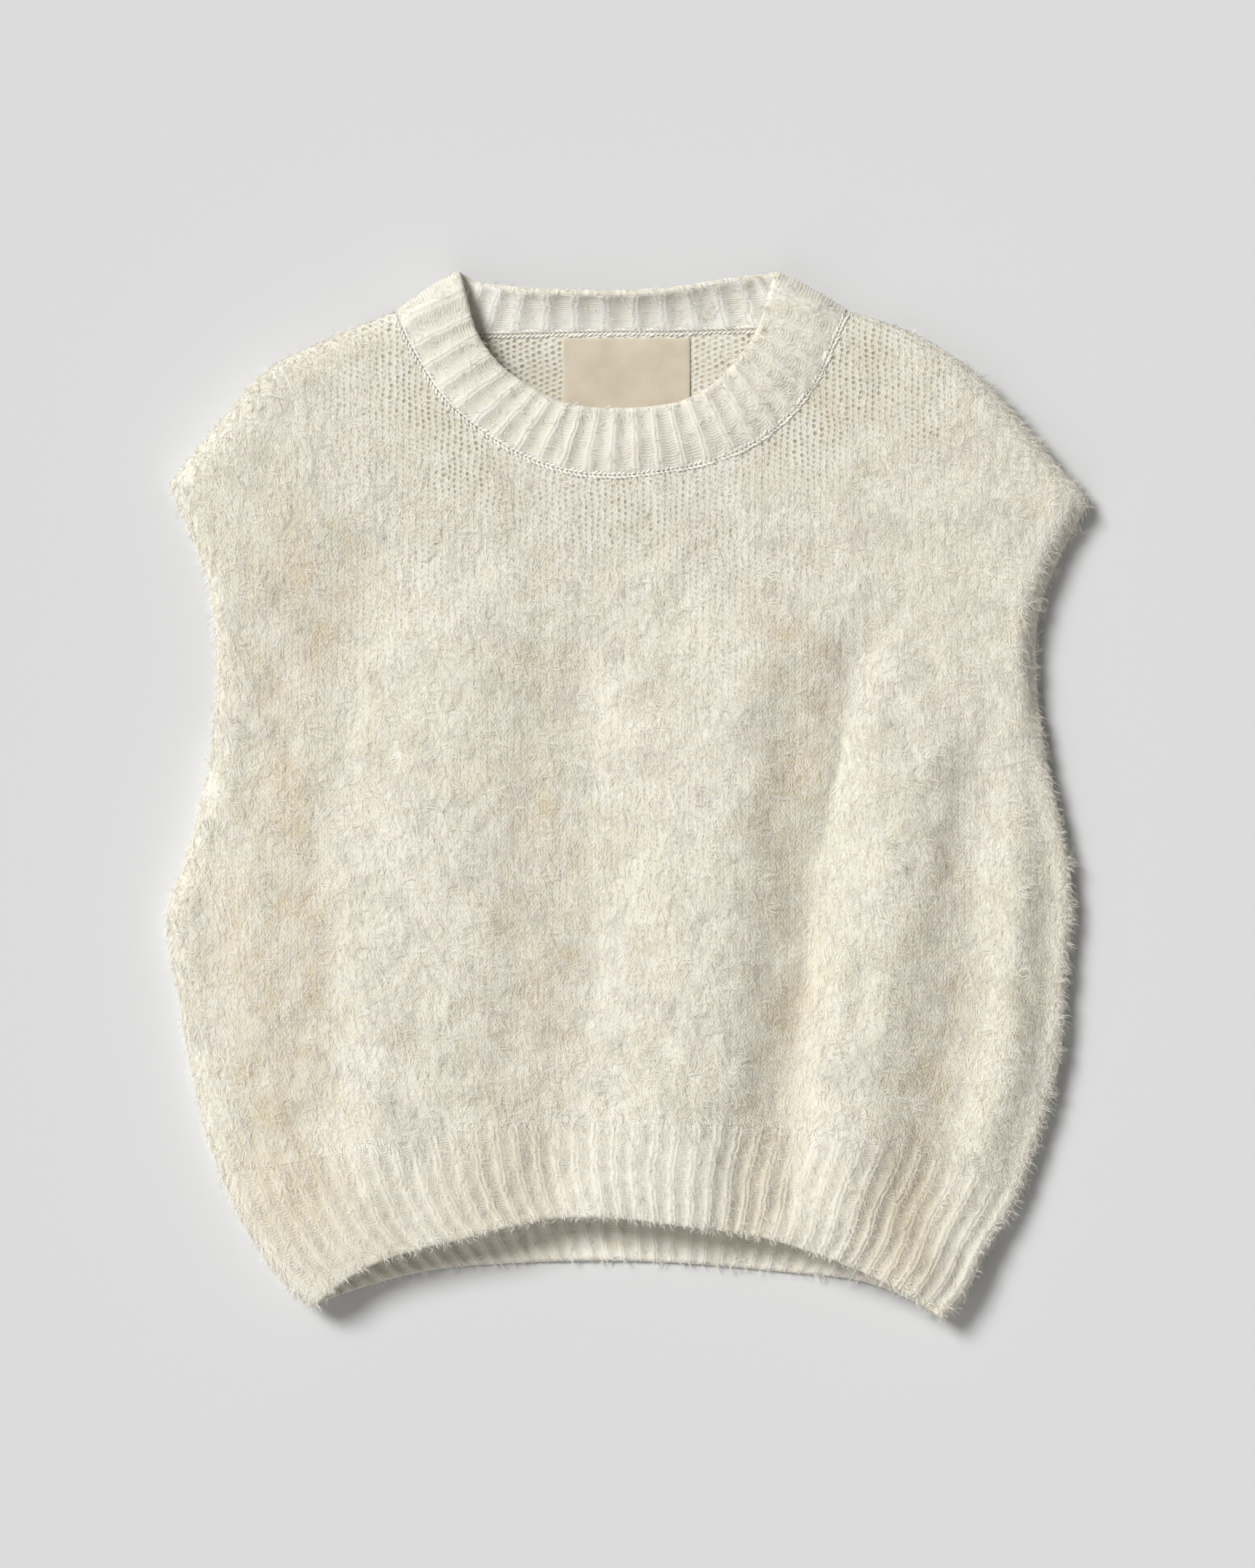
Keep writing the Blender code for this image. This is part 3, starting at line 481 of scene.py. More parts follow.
@dataclass
class Wall:
    """Grids of one cloth wall, columns by rows, and what its faces read.

    up and down are the thicknesses on the outer and the inner side of the middle.
    round_off is how far the rim stands out from the border there: 0 along a seam.
    """

    middle: np.ndarray
    normals: np.ndarray
    up: np.ndarray
    down: np.ndarray
    cloth: np.ndarray  # u and v in metres, columns by rows by 2
    round_off: np.ndarray
    values: dict[str, np.ndarray] = field(default_factory=dict)
    ring: bool = False
    wrap_u: float = 0.0  # length round a ring, for its last column of faces
    pile_sides: tuple[float, float] = (1.0, 0.0)  # shares of the pile on the outer and inner face

    RIM_ANGLES = (45.0, 90.0, 135.0)

    def outward(self) -> np.ndarray:
        """Direction off the border at each of its points, in the cloth."""
        out = np.zeros_like(self.middle)
        out[:, 0] = self.middle[:, 0] - self.middle[:, 1]
        out[:, -1] = self.middle[:, -1] - self.middle[:, -2]
        if not self.ring:
            out[0, 1:-1] = (self.middle[0] - self.middle[1])[1:-1]
            out[-1, 1:-1] = (self.middle[-1] - self.middle[-2])[1:-1]
        along = (out * self.normals).sum(-1, keepdims=True)
        return unit(out - along * self.normals)

    def borders(self) -> list[list[tuple[int, int]]]:
        """Closed loops of grid places round the wall's borders."""
        columns, rows = self.middle.shape[:2]
        if self.ring:
            return [[(i, 0) for i in range(columns)], [(i, rows - 1) for i in range(columns)]]
        loop = [(i, 0) for i in range(columns)]
        loop += [(columns - 1, j) for j in range(1, rows)]
        loop += [(i, rows - 1) for i in range(columns - 2, -1, -1)]
        loop += [(0, j) for j in range(rows - 2, 0, -1)]
        return [loop]

    def build(
        self, name: str, outside: bpy.types.Material, inside: bpy.types.Material
    ) -> bpy.types.Object:
        """Makes the closed mesh.

        Args:
            name: of the piece.
            outside: material of the outer face and the rims.
            inside: material of the inner face.

        Returns:
            The object, at the origin.
        """
        columns, rows = self.middle.shape[:2]
        outer = self.middle + self.normals * self.up[..., None]
        inner = self.middle - self.normals * self.down[..., None]
        points = [outer.reshape(-1, 3), inner.reshape(-1, 3)]
        source = [np.arange(columns * rows)] * 2
        side = [np.zeros(columns * rows), np.ones(columns * rows)]
        index = np.arange(columns * rows).reshape(columns, rows)
        size = columns * rows
        i = np.arange(columns if self.ring else columns - 1)
        j = np.arange(rows - 1)
        i, j = (grid.ravel() for grid in np.meshgrid(i, j, indexing="ij"))
        k = (i + 1) % columns
        front = np.stack([index[i, j], index[k, j], index[k, j + 1], index[i, j + 1]], -1)
        faces = [front, front[:, ::-1] + size]
        slots = [np.zeros(len(front), int), np.ones(len(front), int)]
        smooth = [np.ones(2 * len(front), bool)]
        total = 2 * size
        out = self.outward()
        for loop in self.borders():
            place = np.array(loop)
            at = tuple(place.T)
            previous = index[at]
            rim_rows = [previous]
            for angle in self.RIM_ANGLES:
                turn = math.radians(angle)
                depth = self.up[at] if angle <= 90 else self.down[at]
                lift = self.normals[at] * (depth * math.cos(turn))[:, None]
                reach = out[at] * (self.round_off[at] * math.sin(turn))[:, None]
                points.append(self.middle[at] + lift + reach)
                source.append(index[at])
                side.append(np.full(len(loop), angle / 180))
                rim_rows.append(np.arange(total, total + len(loop)))
                total += len(loop)
            rim_rows.append(index[at] + size)
            for near, far in zip(rim_rows[:-1], rim_rows[1:]):
                quad = np.stack([near, far, np.roll(far, -1), np.roll(near, -1)], -1)
                faces.append(quad)
                slots.append(np.zeros(len(quad), int))
                smooth.append((self.round_off[at] > 0) | (np.roll(self.round_off[at], -1) > 0))
        return self._mesh(
            name,
            np.concatenate(points),
            np.concatenate(faces),
            np.concatenate(slots),
            np.concatenate(smooth),
            np.concatenate(source),
            np.concatenate(side),
            (outside, inside),
        )

    def _mesh(
        self,
        name: str,
        points: np.ndarray,
        faces: np.ndarray,
        slots: np.ndarray,
        smooth: np.ndarray,
        source: np.ndarray,
        side: np.ndarray,
        materials: Iterable[bpy.types.Material],
    ) -> bpy.types.Object:
        """Joins points and faces to an object with its map, values and materials.

        Args:
            name: of the piece.
            points: all vertices.
            faces: four vertex numbers a row.
            slots: material slot of each face.
            smooth: whether each face is shaded smooth.
            source: grid place from which each vertex reads its map and values.
            side: 0 on the outer face and 1 on the inner one.
            materials: for the slots.

        Returns:
            The object.
        """
        mesh = bpy.data.meshes.new(name)
        mesh.from_pydata(points.tolist(), [], faces.tolist())
        mesh.polygons.foreach_set("material_index", slots.astype(np.int32))
        cloth = self.cloth.reshape(-1, 2)[source[faces]]
        if self.ring:
            low = cloth[..., 0].min(1, keepdims=True)
            high = cloth[..., 0].max(1, keepdims=True)
            crossing = (high - low) > self.wrap_u / 2
            near = cloth[..., 0] < self.wrap_u / 2
            cloth[..., 0] += np.where(crossing & near, self.wrap_u, 0.0)
        layer = mesh.uv_layers.new(name="cloth")
        layer.data.foreach_set("uv", cloth.astype(np.float32).ravel())
        shares = {"pile": self.pile_sides}
        for key, value in self.values.items():
            outer, inner = shares.get(key, (1.0, 1.0))
            data = value.reshape(-1)[source] * (outer + (inner - outer) * side)
            attribute = mesh.attributes.new(key, "FLOAT", "POINT")
            attribute.data.foreach_set("value", data.astype(np.float32))
        for material in materials:
            mesh.materials.append(material)
        shape = bmesh.new()
        shape.from_mesh(mesh)
        bmesh.ops.recalc_face_normals(shape, faces=shape.faces)
        shape.to_mesh(mesh)
        shape.free()
        mesh.polygons.foreach_set("use_smooth", smooth)
        piece = bpy.data.objects.new(name, mesh)
        bpy.context.scene.collection.objects.link(piece)
        return piece


def rough_field(plan: np.ndarray, size: float, seed: float, octaves: int = 3) -> np.ndarray:
    """Smooth random values of about -1 to 1 over the plan.

    Args:
        plan: points, any shape by 2.
        size: of the largest lumps.
        seed: moves the pattern.
        octaves: how many finer layers it holds.

    Returns:
        One value for each point.
    """
    flat = plan.reshape(-1, 2) / size
    found = [
        noise.fractal(Vector((x, y, seed)), 0.9, 2.1, octaves, noise_basis="PERLIN_ORIGINAL")
        for x, y in flat
    ]
    return np.array(found).reshape(plan.shape[:-1])


# --------------------------------------------------------------------------- materials


class Sketch:
    """One node material, with short calls for the nodes that its pattern needs."""

    def __init__(self, name: str) -> None:
        """Starts a material with one Principled shader."""
        self.material = bpy.data.materials.new(name)
        self.material.use_nodes = True
        self.nodes = self.material.node_tree.nodes
        self.links = self.material.node_tree.links
        self.shader = self.nodes["Principled BSDF"]

    def put(self, value: "Socket | float | Sequence[float]", socket: Socket) -> None:
        """Links a socket, or sets a number or colour."""
        if isinstance(value, bpy.types.NodeSocket):
            self.links.new(value, socket)
        else:
            socket.default_value = value

    def set(self, name: str, value: "Socket | float | Sequence[float]") -> None:
        """Links or sets one input of the shader."""
        self.put(value, self.shader.inputs[name])

    def math(self, operation: str, *values: "Socket | float") -> Socket:
        """One Math node on up to three values."""
        node = self.nodes.new("ShaderNodeMath")
        node.operation = operation
        for value, socket in zip(values, node.inputs):
            self.put(value, socket)
        return node.outputs[0]

    def add(self, *values: "Socket | float") -> Socket:
        """Sum of two or more values."""
        total = values[0]
        for value in values[1:]:
            total = self.math("ADD", total, value)
        return total

    def times(self, *values: "Socket | float") -> Socket:
        """Product of two or more values."""
        total = values[0]
        for value in values[1:]:
            total = self.math("MULTIPLY", total, value)
        return total

    def step(self, value: "Socket | float", low: float, high: float) -> Socket:
        """0 below low, 1 above high and smooth between them. low may be above high."""
        node = self.nodes.new("ShaderNodeMapRange")
        node.interpolation_type = "SMOOTHSTEP"
        self.put(value, node.inputs["Value"])
        node.inputs["From Min"].default_value = min(low, high)
        node.inputs["From Max"].default_value = max(low, high)
        node.inputs["To Min"].default_value = 0.0 if low < high else 1.0
        node.inputs["To Max"].default_value = 1.0 if low < high else 0.0
        return node.outputs["Result"]

    def between(
        self, share: "Socket | float", low: "Socket | float", high: "Socket | float"
    ) -> Socket:
        """Value between low and high at a share."""
        node = self.nodes.new("ShaderNodeMix")
        node.data_type = "FLOAT"
        for value, place in ((share, 0), (low, 2), (high, 3)):
            self.put(value, node.inputs[place])
        return node.outputs[0]

    def tint(
        self, share: "Socket | float", low: "Socket | Color", high: "Socket | Color"
    ) -> Socket:
        """Colour between low and high at a share."""
        node = self.nodes.new("ShaderNodeMix")
        node.data_type = "RGBA"
        self.put(share, node.inputs[0])
        for value, socket in ((low, node.inputs[6]), (high, node.inputs[7])):
            self.put(value if isinstance(value, bpy.types.NodeSocket) else (*value, 1.0), socket)
        return node.outputs[2]

    def cloth_map(self) -> tuple[Socket, Socket]:
        """u and v of the cloth, in metres."""
        uv = self.nodes.new("ShaderNodeUVMap")
        uv.uv_map = "cloth"
        split = self.nodes.new("ShaderNodeSeparateXYZ")
        self.links.new(uv.outputs[0], split.inputs[0])
        return split.outputs[0], split.outputs[1]

    def value_of(self, name: str) -> Socket:
        """A value that the mesh holds at its points."""
        node = self.nodes.new("ShaderNodeAttribute")
        node.attribute_name = name
        return node.outputs["Fac"]

    def place(self, x: "Socket | float", y: "Socket | float", z: "Socket | float" = 0.0) -> Socket:
        """A vector of three values."""
        node = self.nodes.new("ShaderNodeCombineXYZ")
        for value, socket in zip((x, y, z), node.inputs):
            self.put(value, socket)
        return node.outputs[0]

    def noise(self, vector: Socket, scale: float, detail: float = 2.0, warp: float = 0.0) -> Socket:
        """Noise of about 0 to 1 round 0.5."""
        node = self.nodes.new("ShaderNodeTexNoise")
        self.links.new(vector, node.inputs["Vector"])
        node.inputs["Scale"].default_value = scale
        node.inputs["Detail"].default_value = detail
        node.inputs["Distortion"].default_value = warp
        return node.outputs[0]

    def chance(self, x: Socket, y: Socket) -> Socket:
        """One random value for each whole x and y."""
        node = self.nodes.new("ShaderNodeTexWhiteNoise")
        node.noise_dimensions = "2D"
        self.links.new(self.place(x, y), node.inputs["Vector"])
        return node.outputs["Value"]

    def glow(self) -> None:
        """Lets some light through the loose cloth, but not at a join, where it would be lost."""
        open_cloth = self.step(self.value_of("join"), 0.92, 0.05)
        self.set("Subsurface Weight", self.times(open_cloth, 0.65))
        self.set("Subsurface Radius", (1.0, 0.84, 0.60))
        self.set("Subsurface Scale", 0.0019)

    def bump(self, height: Socket, distance: float, strength: float = 1.0) -> None:
        """Reads the height, of about 0 to 1, as relief of that depth."""
        node = self.nodes.new("ShaderNodeBump")
        node.inputs["Distance"].default_value = distance
        node.inputs["Strength"].default_value = strength
        self.links.new(height, node.inputs["Height"])
        self.links.new(node.outputs[0], self.shader.inputs["Normal"])


SHEEN_TINT = (1.0, 0.98, 0.93, 1.0)


class Side(enum.Enum):
    """Which face of the plain knit shows."""

    KNIT = "knit"
    PURL = "purl"


@dataclass(frozen=True)
class WoolColors:
    """Colours of the ivory yarn, in linear light."""

    lit: Color = (0.925, 0.905, 0.83)
    body: Color = (0.84, 0.81, 0.705)
    # painted shade in stitch holes and in rib recesses
    painted_shade: Color = (0.47, 0.41, 0.29)
    # a random warm tone in patches, and the painted shade of the shade bands
    warm_tone_and_shade: Color = (0.71, 0.625, 0.455)
    green: Color = (0.83, 0.815, 0.67)


@dataclass(frozen=True)
class PlainKnit:
    """Brushed plain knit: stitches, open holes where the pile is thin, fibres and clumps, with
    painted shade in the holes and along the shade bands.
    """

    name: str
    side: Side
    wale: float = 0.0034
    course: float = 0.0029
    colors: WoolColors = WoolColors()
    relief: float = 0.00070

    def stitches(self, sketch: Sketch, u: Socket, v: Socket) -> tuple[Socket, Socket]:
        """The stitch pattern.

        Args:
            sketch: the material.
            u: across the cloth.
            v: up the cloth.

        Returns:
            Height of the yarn and depth of the holes, each 0 to 1.
        """
        spot = sketch.place(u, v)
        drift = sketch.noise(spot, 95.0, 1.0)
        sway = sketch.noise(sketch.place(v, u, 3.0), 80.0, 1.0)
        wale = sketch.add(sketch.times(u, 1 / self.wale), sketch.times(drift, 1.1))
        column = sketch.math("FLOOR", wale)
        across = sketch.math("SUBTRACT", sketch.math("FRACT", wale), 0.5)
        shift = sketch.times(sketch.math("PINGPONG", column, 1.0), 0.5)
        row = sketch.add(sketch.times(v, 1 / self.course), sketch.times(sway, 1.2), shift)
        from_middle = sketch.times(sketch.math("ABSOLUTE", across), 2.0)
        slant = -0.55 if self.side is Side.KNIT else 0.25
        leg_row = sketch.add(row, sketch.times(from_middle, slant))
        leg_place = sketch.math("SUBTRACT", sketch.math("FRACT", leg_row), 0.5)
        bar = sketch.step(sketch.math("ABSOLUTE", leg_place), 0.42, 0.05)
        leg_middle = 0.55 if self.side is Side.KNIT else 0.0
        spread = 0.55 if self.side is Side.KNIT else 1.0
        from_leg = sketch.math("ABSOLUTE", sketch.add(from_middle, -leg_middle))
        leg = sketch.step(from_leg, spread, 0.1)
        yarn = sketch.times(bar, leg)
        hole_row = sketch.math("SUBTRACT", sketch.math("FRACT", sketch.add(row, 0.5)), 0.5)
        wide = sketch.math("POWER", sketch.math("DIVIDE", across, 0.36), 2.0)
        high = sketch.math("POWER", sketch.math("DIVIDE", hole_row, 0.40), 2.0)
        hole = sketch.step(sketch.math("SQRT", sketch.add(wide, high)), 1.05, 0.45)
        luck = sketch.chance(column, sketch.math("FLOOR", sketch.add(row, 0.5)))
        return yarn, sketch.times(hole, sketch.between(luck, 0.35, 1.0))

    def make(self) -> bpy.types.Material:
        """The material."""
        sketch = Sketch(self.name)
        u, v = sketch.cloth_map()
        spot = sketch.place(u, v)
        thin = sketch.value_of("thin")
        yarn, hole = self.stitches(sketch, u, v)
        bend = sketch.times(sketch.math("SUBTRACT", sketch.noise(spot, 120.0, 1.0), 0.5), 0.006)
        along = sketch.place(
            sketch.times(sketch.add(u, bend), 1500.0), sketch.times(v, 330.0)
        )
        fibre = sketch.noise(along, 1.0, 3.0, 0.4)
        clump = sketch.noise(spot, 70.0, 4.0, 0.6)
        cloud = sketch.noise(spot, 13.0, 2.0)
        depth = sketch.times(hole, sketch.between(thin, 0.12, 0.95))
        body = sketch.tint(sketch.step(cloud, 0.42, 0.62), self.colors.body, self.colors.green)
        patch = sketch.step(sketch.noise(sketch.place(v, u, 9.0), 34.0, 3.0, 0.6), 0.40, 0.68)
        # Painted shade along the shade bands, stronger in the warm patches; with the patches'
        # random warm tone it tints the body warm and dulls the lit fibres.
        trough = sketch.value_of("trough")
        trough = sketch.times(trough, sketch.between(patch, 0.5, 1.0))
        warm_tone_and_shade = sketch.add(sketch.times(patch, 0.34), trough)
        warm_tone_and_shade = sketch.math("MINIMUM", warm_tone_and_shade, 1.0)
        body = sketch.tint(warm_tone_and_shade, body, self.colors.warm_tone_and_shade)
        light = sketch.add(
            sketch.times(yarn, sketch.between(thin, 0.26, 0.55)),
            sketch.times(sketch.step(fibre, 0.42, 0.64), 0.46),
            sketch.times(sketch.step(clump, 0.38, 0.66), 0.40),
        )
        light = sketch.times(sketch.math("MINIMUM", light, 1.0), sketch.between(warm_tone_and_shade, 1.0, 0.45))
        color = sketch.tint(light, body, self.colors.lit)
        # Painted shade in the open stitch holes, deeper where the pile is thin.
        color = sketch.tint(depth, color, self.colors.painted_shade)
        sketch.set("Base Color", color)
        sketch.set("Roughness", sketch.between(fibre, 0.80, 1.0))
        sketch.set("Specular IOR Level", 0.15)
        sketch.set("Sheen Weight", 0.35)
        sketch.set("Sheen Roughness", 0.5)
        sketch.set("Sheen Tint", SHEEN_TINT)
        sketch.glow()
        height = sketch.add(
            sketch.times(yarn, 0.30),
            sketch.times(depth, -0.75),
            sketch.times(fibre, 0.35),
            sketch.times(clump, 0.9),
        )
        sketch.bump(height, self.relief)
        return sketch.material


@dataclass(frozen=True)
class RibKnit:
    """Ribbed knit: two fine lines of legs on each ridge and slanted bars in the hollows, with
    painted shade in the hollows and along the shade bands.
    """

    name: str
    pitch: float
    counter: bool = False  # the ridges lie where the other face has its hollows
    bar: float = 0.0016
    leg_place: float = 0.10
    ridge_edge: float = 0.27
    crisp: float = 1.0  # how clearly the stitches stand out of the pile
    painted_band_share: float = 0.75  # how far the painted shade of the shade bands shows
    colors: WoolColors = WoolColors()
    relief: float = 0.00045

    def make(self) -> bpy.types.Material:
        """The material."""
        sketch = Sketch(self.name)
        u, v = sketch.cloth_map()
        spot = sketch.place(u, v)
        sway = sketch.noise(spot, 110.0, 2.0)
        middle = sketch.math("SUBTRACT", sway, 0.5)
        rib = sketch.add(sketch.times(u, 1 / self.pitch), sketch.times(middle, 0.30))
        rib = sketch.add(rib, 0.5) if self.counter else rib
        away = sketch.math("SUBTRACT", sketch.math("FRACT", rib), 0.5)
        away = sketch.math("ABSOLUTE", away)
        leg = sketch.step(sketch.math("ABSOLUTE", sketch.add(away, -self.leg_place)), 0.085, 0.015)
        ridge = sketch.step(away, self.ridge_edge, self.ridge_edge - 0.14)
        recess = sketch.math("SUBTRACT", 1.0, ridge)
        row = sketch.add(
            sketch.times(v, 1 / self.bar), sketch.times(sway, 2.2), sketch.times(away, 1.5)
        )
        place = sketch.math("ABSOLUTE", sketch.math("SUBTRACT", sketch.math("FRACT", row), 0.5))
        bars = sketch.step(place, 0.45, 0.10)
        twist = sketch.add(
            sketch.times(v, 1 / 0.0027), sketch.times(away, 5.0), sketch.times(sway, 1.5)
        )
        twist = sketch.math("ABSOLUTE", sketch.math("SUBTRACT", sketch.math("FRACT", twist), 0.5))
        beads = sketch.step(twist, 0.5, 0.12)
        aside = sketch.add(u, sketch.times(middle, 0.006))
        fibre_place = sketch.place(sketch.times(aside, 1400.0), sketch.times(v, 420.0))
        fibre = sketch.noise(fibre_place, 1.0, 3.0, 0.6)
        clump = sketch.noise(spot, 85.0, 3.0, 0.6)
        haze = sketch.step(sketch.noise(sketch.place(v, u, 4.0), 42.0, 3.0, 0.5), 0.36, 0.64)
        clear = sketch.times(sketch.between(haze, 1.0, 0.45), self.crisp)
        light = sketch.add(
            sketch.times(sketch.step(fibre, 0.38, 0.66), 0.40),
            sketch.times(leg, sketch.between(beads, 0.35, 0.80), clear),
            sketch.times(sketch.step(clump, 0.4, 0.65), 0.30),
            sketch.times(recess, bars, clear, 0.35),
        )
        color = sketch.tint(sketch.math("MINIMUM", light, 1.0), self.colors.body, self.colors.lit)
        # Painted shade in the gaps between the bars, in each ridge's middle groove and over the
        # recesses; the same value also sinks the relief.
        gap = sketch.times(recess, sketch.math("SUBTRACT", 1.0, bars))
        groove = sketch.step(away, 0.05, 0.0)
        recess_shade_and_depth = sketch.math("MAXIMUM", sketch.times(gap, 0.30), sketch.times(groove, 0.26))
        recess_shade_and_depth = sketch.add(sketch.times(recess_shade_and_depth, clear), sketch.times(recess, clear, 0.14))
        # Painted shade along the shade bands.
        trough = sketch.times(sketch.value_of("trough"), self.painted_band_share)
        color = sketch.tint(trough, color, self.colors.warm_tone_and_shade)
        color = sketch.tint(recess_shade_and_depth, color, self.colors.painted_shade)
        sketch.set("Base Color", color)
        sketch.set("Roughness", sketch.between(fibre, 0.78, 1.0))
        sketch.set("Specular IOR Level", 0.15)
        sketch.set("Sheen Weight", 0.30)
        sketch.set("Sheen Roughness", 0.5)
        sketch.set("Sheen Tint", SHEEN_TINT)
        sketch.glow()
        height = sketch.add(
            sketch.times(leg, sketch.between(beads, 0.5, 1.0), clear, 0.9),
            sketch.times(recess_shade_and_depth, -1.2),
            sketch.times(recess, bars, clear, 0.35),
            sketch.times(fibre, 0.45),
            sketch.times(clump, 0.8),
        )
        sketch.bump(height, self.relief)
        return sketch.material


@dataclass(frozen=True)
class LooseHair:
    """Finish of the loose hairs and of the seam's yarn."""

    name: str
    color: Color = (0.955, 0.922, 0.835)
    roughness: float = 0.70

    def make(self) -> bpy.types.Material:
        """The material."""
        sketch = Sketch(self.name)
        spot = sketch.nodes.new("ShaderNodeTexCoord").outputs["Object"]
        tone = sketch.noise(spot, 40.0, 1.0)
        darker = tuple(0.9 * part for part in self.color)
        sketch.set("Base Color", sketch.tint(sketch.step(tone, 0.4, 0.6), darker, self.color))
        sketch.set("Roughness", self.roughness)
        sketch.set("Specular IOR Level", 0.15)
        return sketch.material


@dataclass(frozen=True)
class Satin:
    """Woven satin of the neck label: fine crossed threads, and a soft sheen."""

    name: str
    color: Color = (0.915, 0.805, 0.640)
    shadow: Color = (0.760, 0.655, 0.505)
    thread: float = 0.00022

    def make(self) -> bpy.types.Material:
        """The material."""
        sketch = Sketch(self.name)
        u, v = sketch.cloth_map()
        spot = sketch.place(u, v)
        warp = sketch.math("SINE", sketch.times(u, 2 * math.pi / self.thread))
        weft = sketch.math("SINE", sketch.times(v, 2 * math.pi / (1.6 * self.thread)))
        weave = sketch.add(sketch.times(warp, 0.35), sketch.times(weft, 0.65))
        cloud = sketch.noise(spot, 45.0, 3.0)
        share = sketch.add(sketch.times(weave, 0.16), sketch.step(cloud, 0.25, 0.75))
        sketch.set("Base Color", sketch.tint(share, self.shadow, self.color))
        sketch.set("Roughness", sketch.between(cloud, 0.38, 0.52))
        sketch.set("Specular IOR Level", 0.4)
        sketch.set("Sheen Weight", 0.2)
        sketch.bump(weave, 0.00006)
        return sketch.material


@dataclass(frozen=True)
class Floor:
    """Plain pale floor."""

    name: str = "pale_floor"
    color: Color = (0.745, 0.749, 0.754)

    def make(self) -> bpy.types.Material:
        """The material."""
        sketch = Sketch(self.name)
        sketch.set("Base Color", (*self.color, 1.0))
        sketch.set("Roughness", 1.0)
        sketch.set("Specular IOR Level", 0.0)
        return sketch.material


# --------------------------------------------------------------------------- hairs


class Tree:
    """A Geometry Nodes tree on one mesh, with short calls for its nodes."""

    def __init__(self, name: str, settings: Sequence[str]) -> None:
        """Starts a tree whose inputs are a mesh, float settings and a seed."""
        self.group = bpy.data.node_groups.new(name, "GeometryNodeTree")
        inputs = [("Geometry", "Geometry"), *((key, "Float") for key in settings), ("Seed", "Int")]
        for key, kind in inputs:
            self.group.interface.new_socket(key, in_out="INPUT", socket_type=f"NodeSocket{kind}")
        self.group.interface.new_socket(
            "Geometry", in_out="OUTPUT", socket_type="NodeSocketGeometry"
        )
        self.given = self.group.nodes.new("NodeGroupInput").outputs

    def put(self, value: "Socket | object", socket: Socket) -> None:
        """Links a socket, or sets a value."""
        if isinstance(value, bpy.types.NodeSocket):
            self.group.links.new(value, socket)
        else:
            socket.default_value = value

    def node(self, kind: str, inputs: dict | None = None, **settings: str) -> bpy.types.Node:
        """A node with its settings, and its inputs by name or place."""
        node = self.group.nodes.new(kind)
        for key, value in settings.items():
            setattr(node, key, value)
        for key, value in (inputs or {}).items():
            self.put(value, node.inputs[key])
        return node

    def number(self, operation: str, *values: "Socket | float") -> Socket:
        """One Math node."""
        return self.node("ShaderNodeMath", dict(enumerate(values)), operation=operation).outputs[0]

    def vector(self, operation: str, *values: "Socket | Sequence[float]") -> Socket:
        """One Vector Math node."""
        places = (0, "Scale") if operation == "SCALE" else (0, 1)
        inputs = dict(zip(places, values))
        node = self.node("ShaderNodeVectorMath", inputs, operation=operation)
        return node.outputs["Value" if operation == "DOT_PRODUCT" else "Vector"]

    def attribute(self, name: str, kind: str = "FLOAT") -> Socket:
        """A value that the mesh holds."""
        node = self.node("GeometryNodeInputNamedAttribute", {"Name": name}, data_type=kind)
        return node.outputs["Attribute"]

    def chance(self, low: float, high: float, offset: int) -> Socket:
        """A random value for each point."""
        seed = self.number("ADD", self.given["Seed"], float(offset))
        inputs = {2: low, 3: high, "Seed": seed}
        return self.node("FunctionNodeRandomValue", inputs, data_type="FLOAT").outputs[1]

    def shape(self, piece: bpy.types.Object) -> Socket:
        """A piece as an instance."""
        inputs = {"Object": piece, "As Instance": True}
        node = self.node("GeometryNodeObjectInfo", inputs, transform_space="ORIGINAL")
        return node.outputs["Geometry"]

    def finish(self, geometry: Socket, material: bpy.types.Material) -> None:
        """Gives the geometry its material and makes it the tree's result."""
        dress = self.node("GeometryNodeSetMaterial", {"Geometry": geometry, "Material": material})
        result = self.group.nodes.new("NodeGroupOutput").inputs[0]
        self.group.links.new(dress.outputs[0], result)

    def apply(
        self, base: bpy.types.Mesh, name: str, settings: dict[str, float]
    ) -> bpy.types.Object:
        """Runs the tree on a mesh.

        Args:
            base: the mesh that it starts from.
            name: of the piece.
            settings: values of the tree's inputs.

        Returns:
            What it makes, as a plain mesh piece.
        """
        bearer = bpy.data.objects.new(f"{name}_bearer", base)
        bpy.context.scene.collection.objects.link(bearer)
        modifier = bearer.modifiers.new(self.group.name, "NODES")
        modifier.node_group = self.group
        sockets = self.group.interface.items_tree
        keys = {socket.name: socket.identifier for socket in sockets if socket.in_out == "INPUT"}
        for key, value in settings.items():
            modifier[keys[key]] = value
        bpy.context.view_layer.update()
        graph = bpy.context.evaluated_depsgraph_get()
        mesh = bpy.data.meshes.new_from_object(bearer.evaluated_get(graph))
        mesh.name = name
        bpy.data.objects.remove(bearer)
        piece = bpy.data.objects.new(name, mesh)
        bpy.context.scene.collection.objects.link(piece)
        return piece


@dataclass(frozen=True)
class Coat:
    """How one surface is covered with loose hairs."""

    name: str
    density: float  # tufts on a square metre where the pile is full
    length: float
    lean: float  # degrees off the surface's normal
    spread: float  # degrees to each side of the comb direction
    seed: int
    comb: tuple[float, float] = (0.0, -1.0)


class TuftKind(enum.Enum):
    """Shapes of tuft, by their curl."""

    STRAIGHT = 0.15
    BENT = 0.40
    CURLED = 0.70


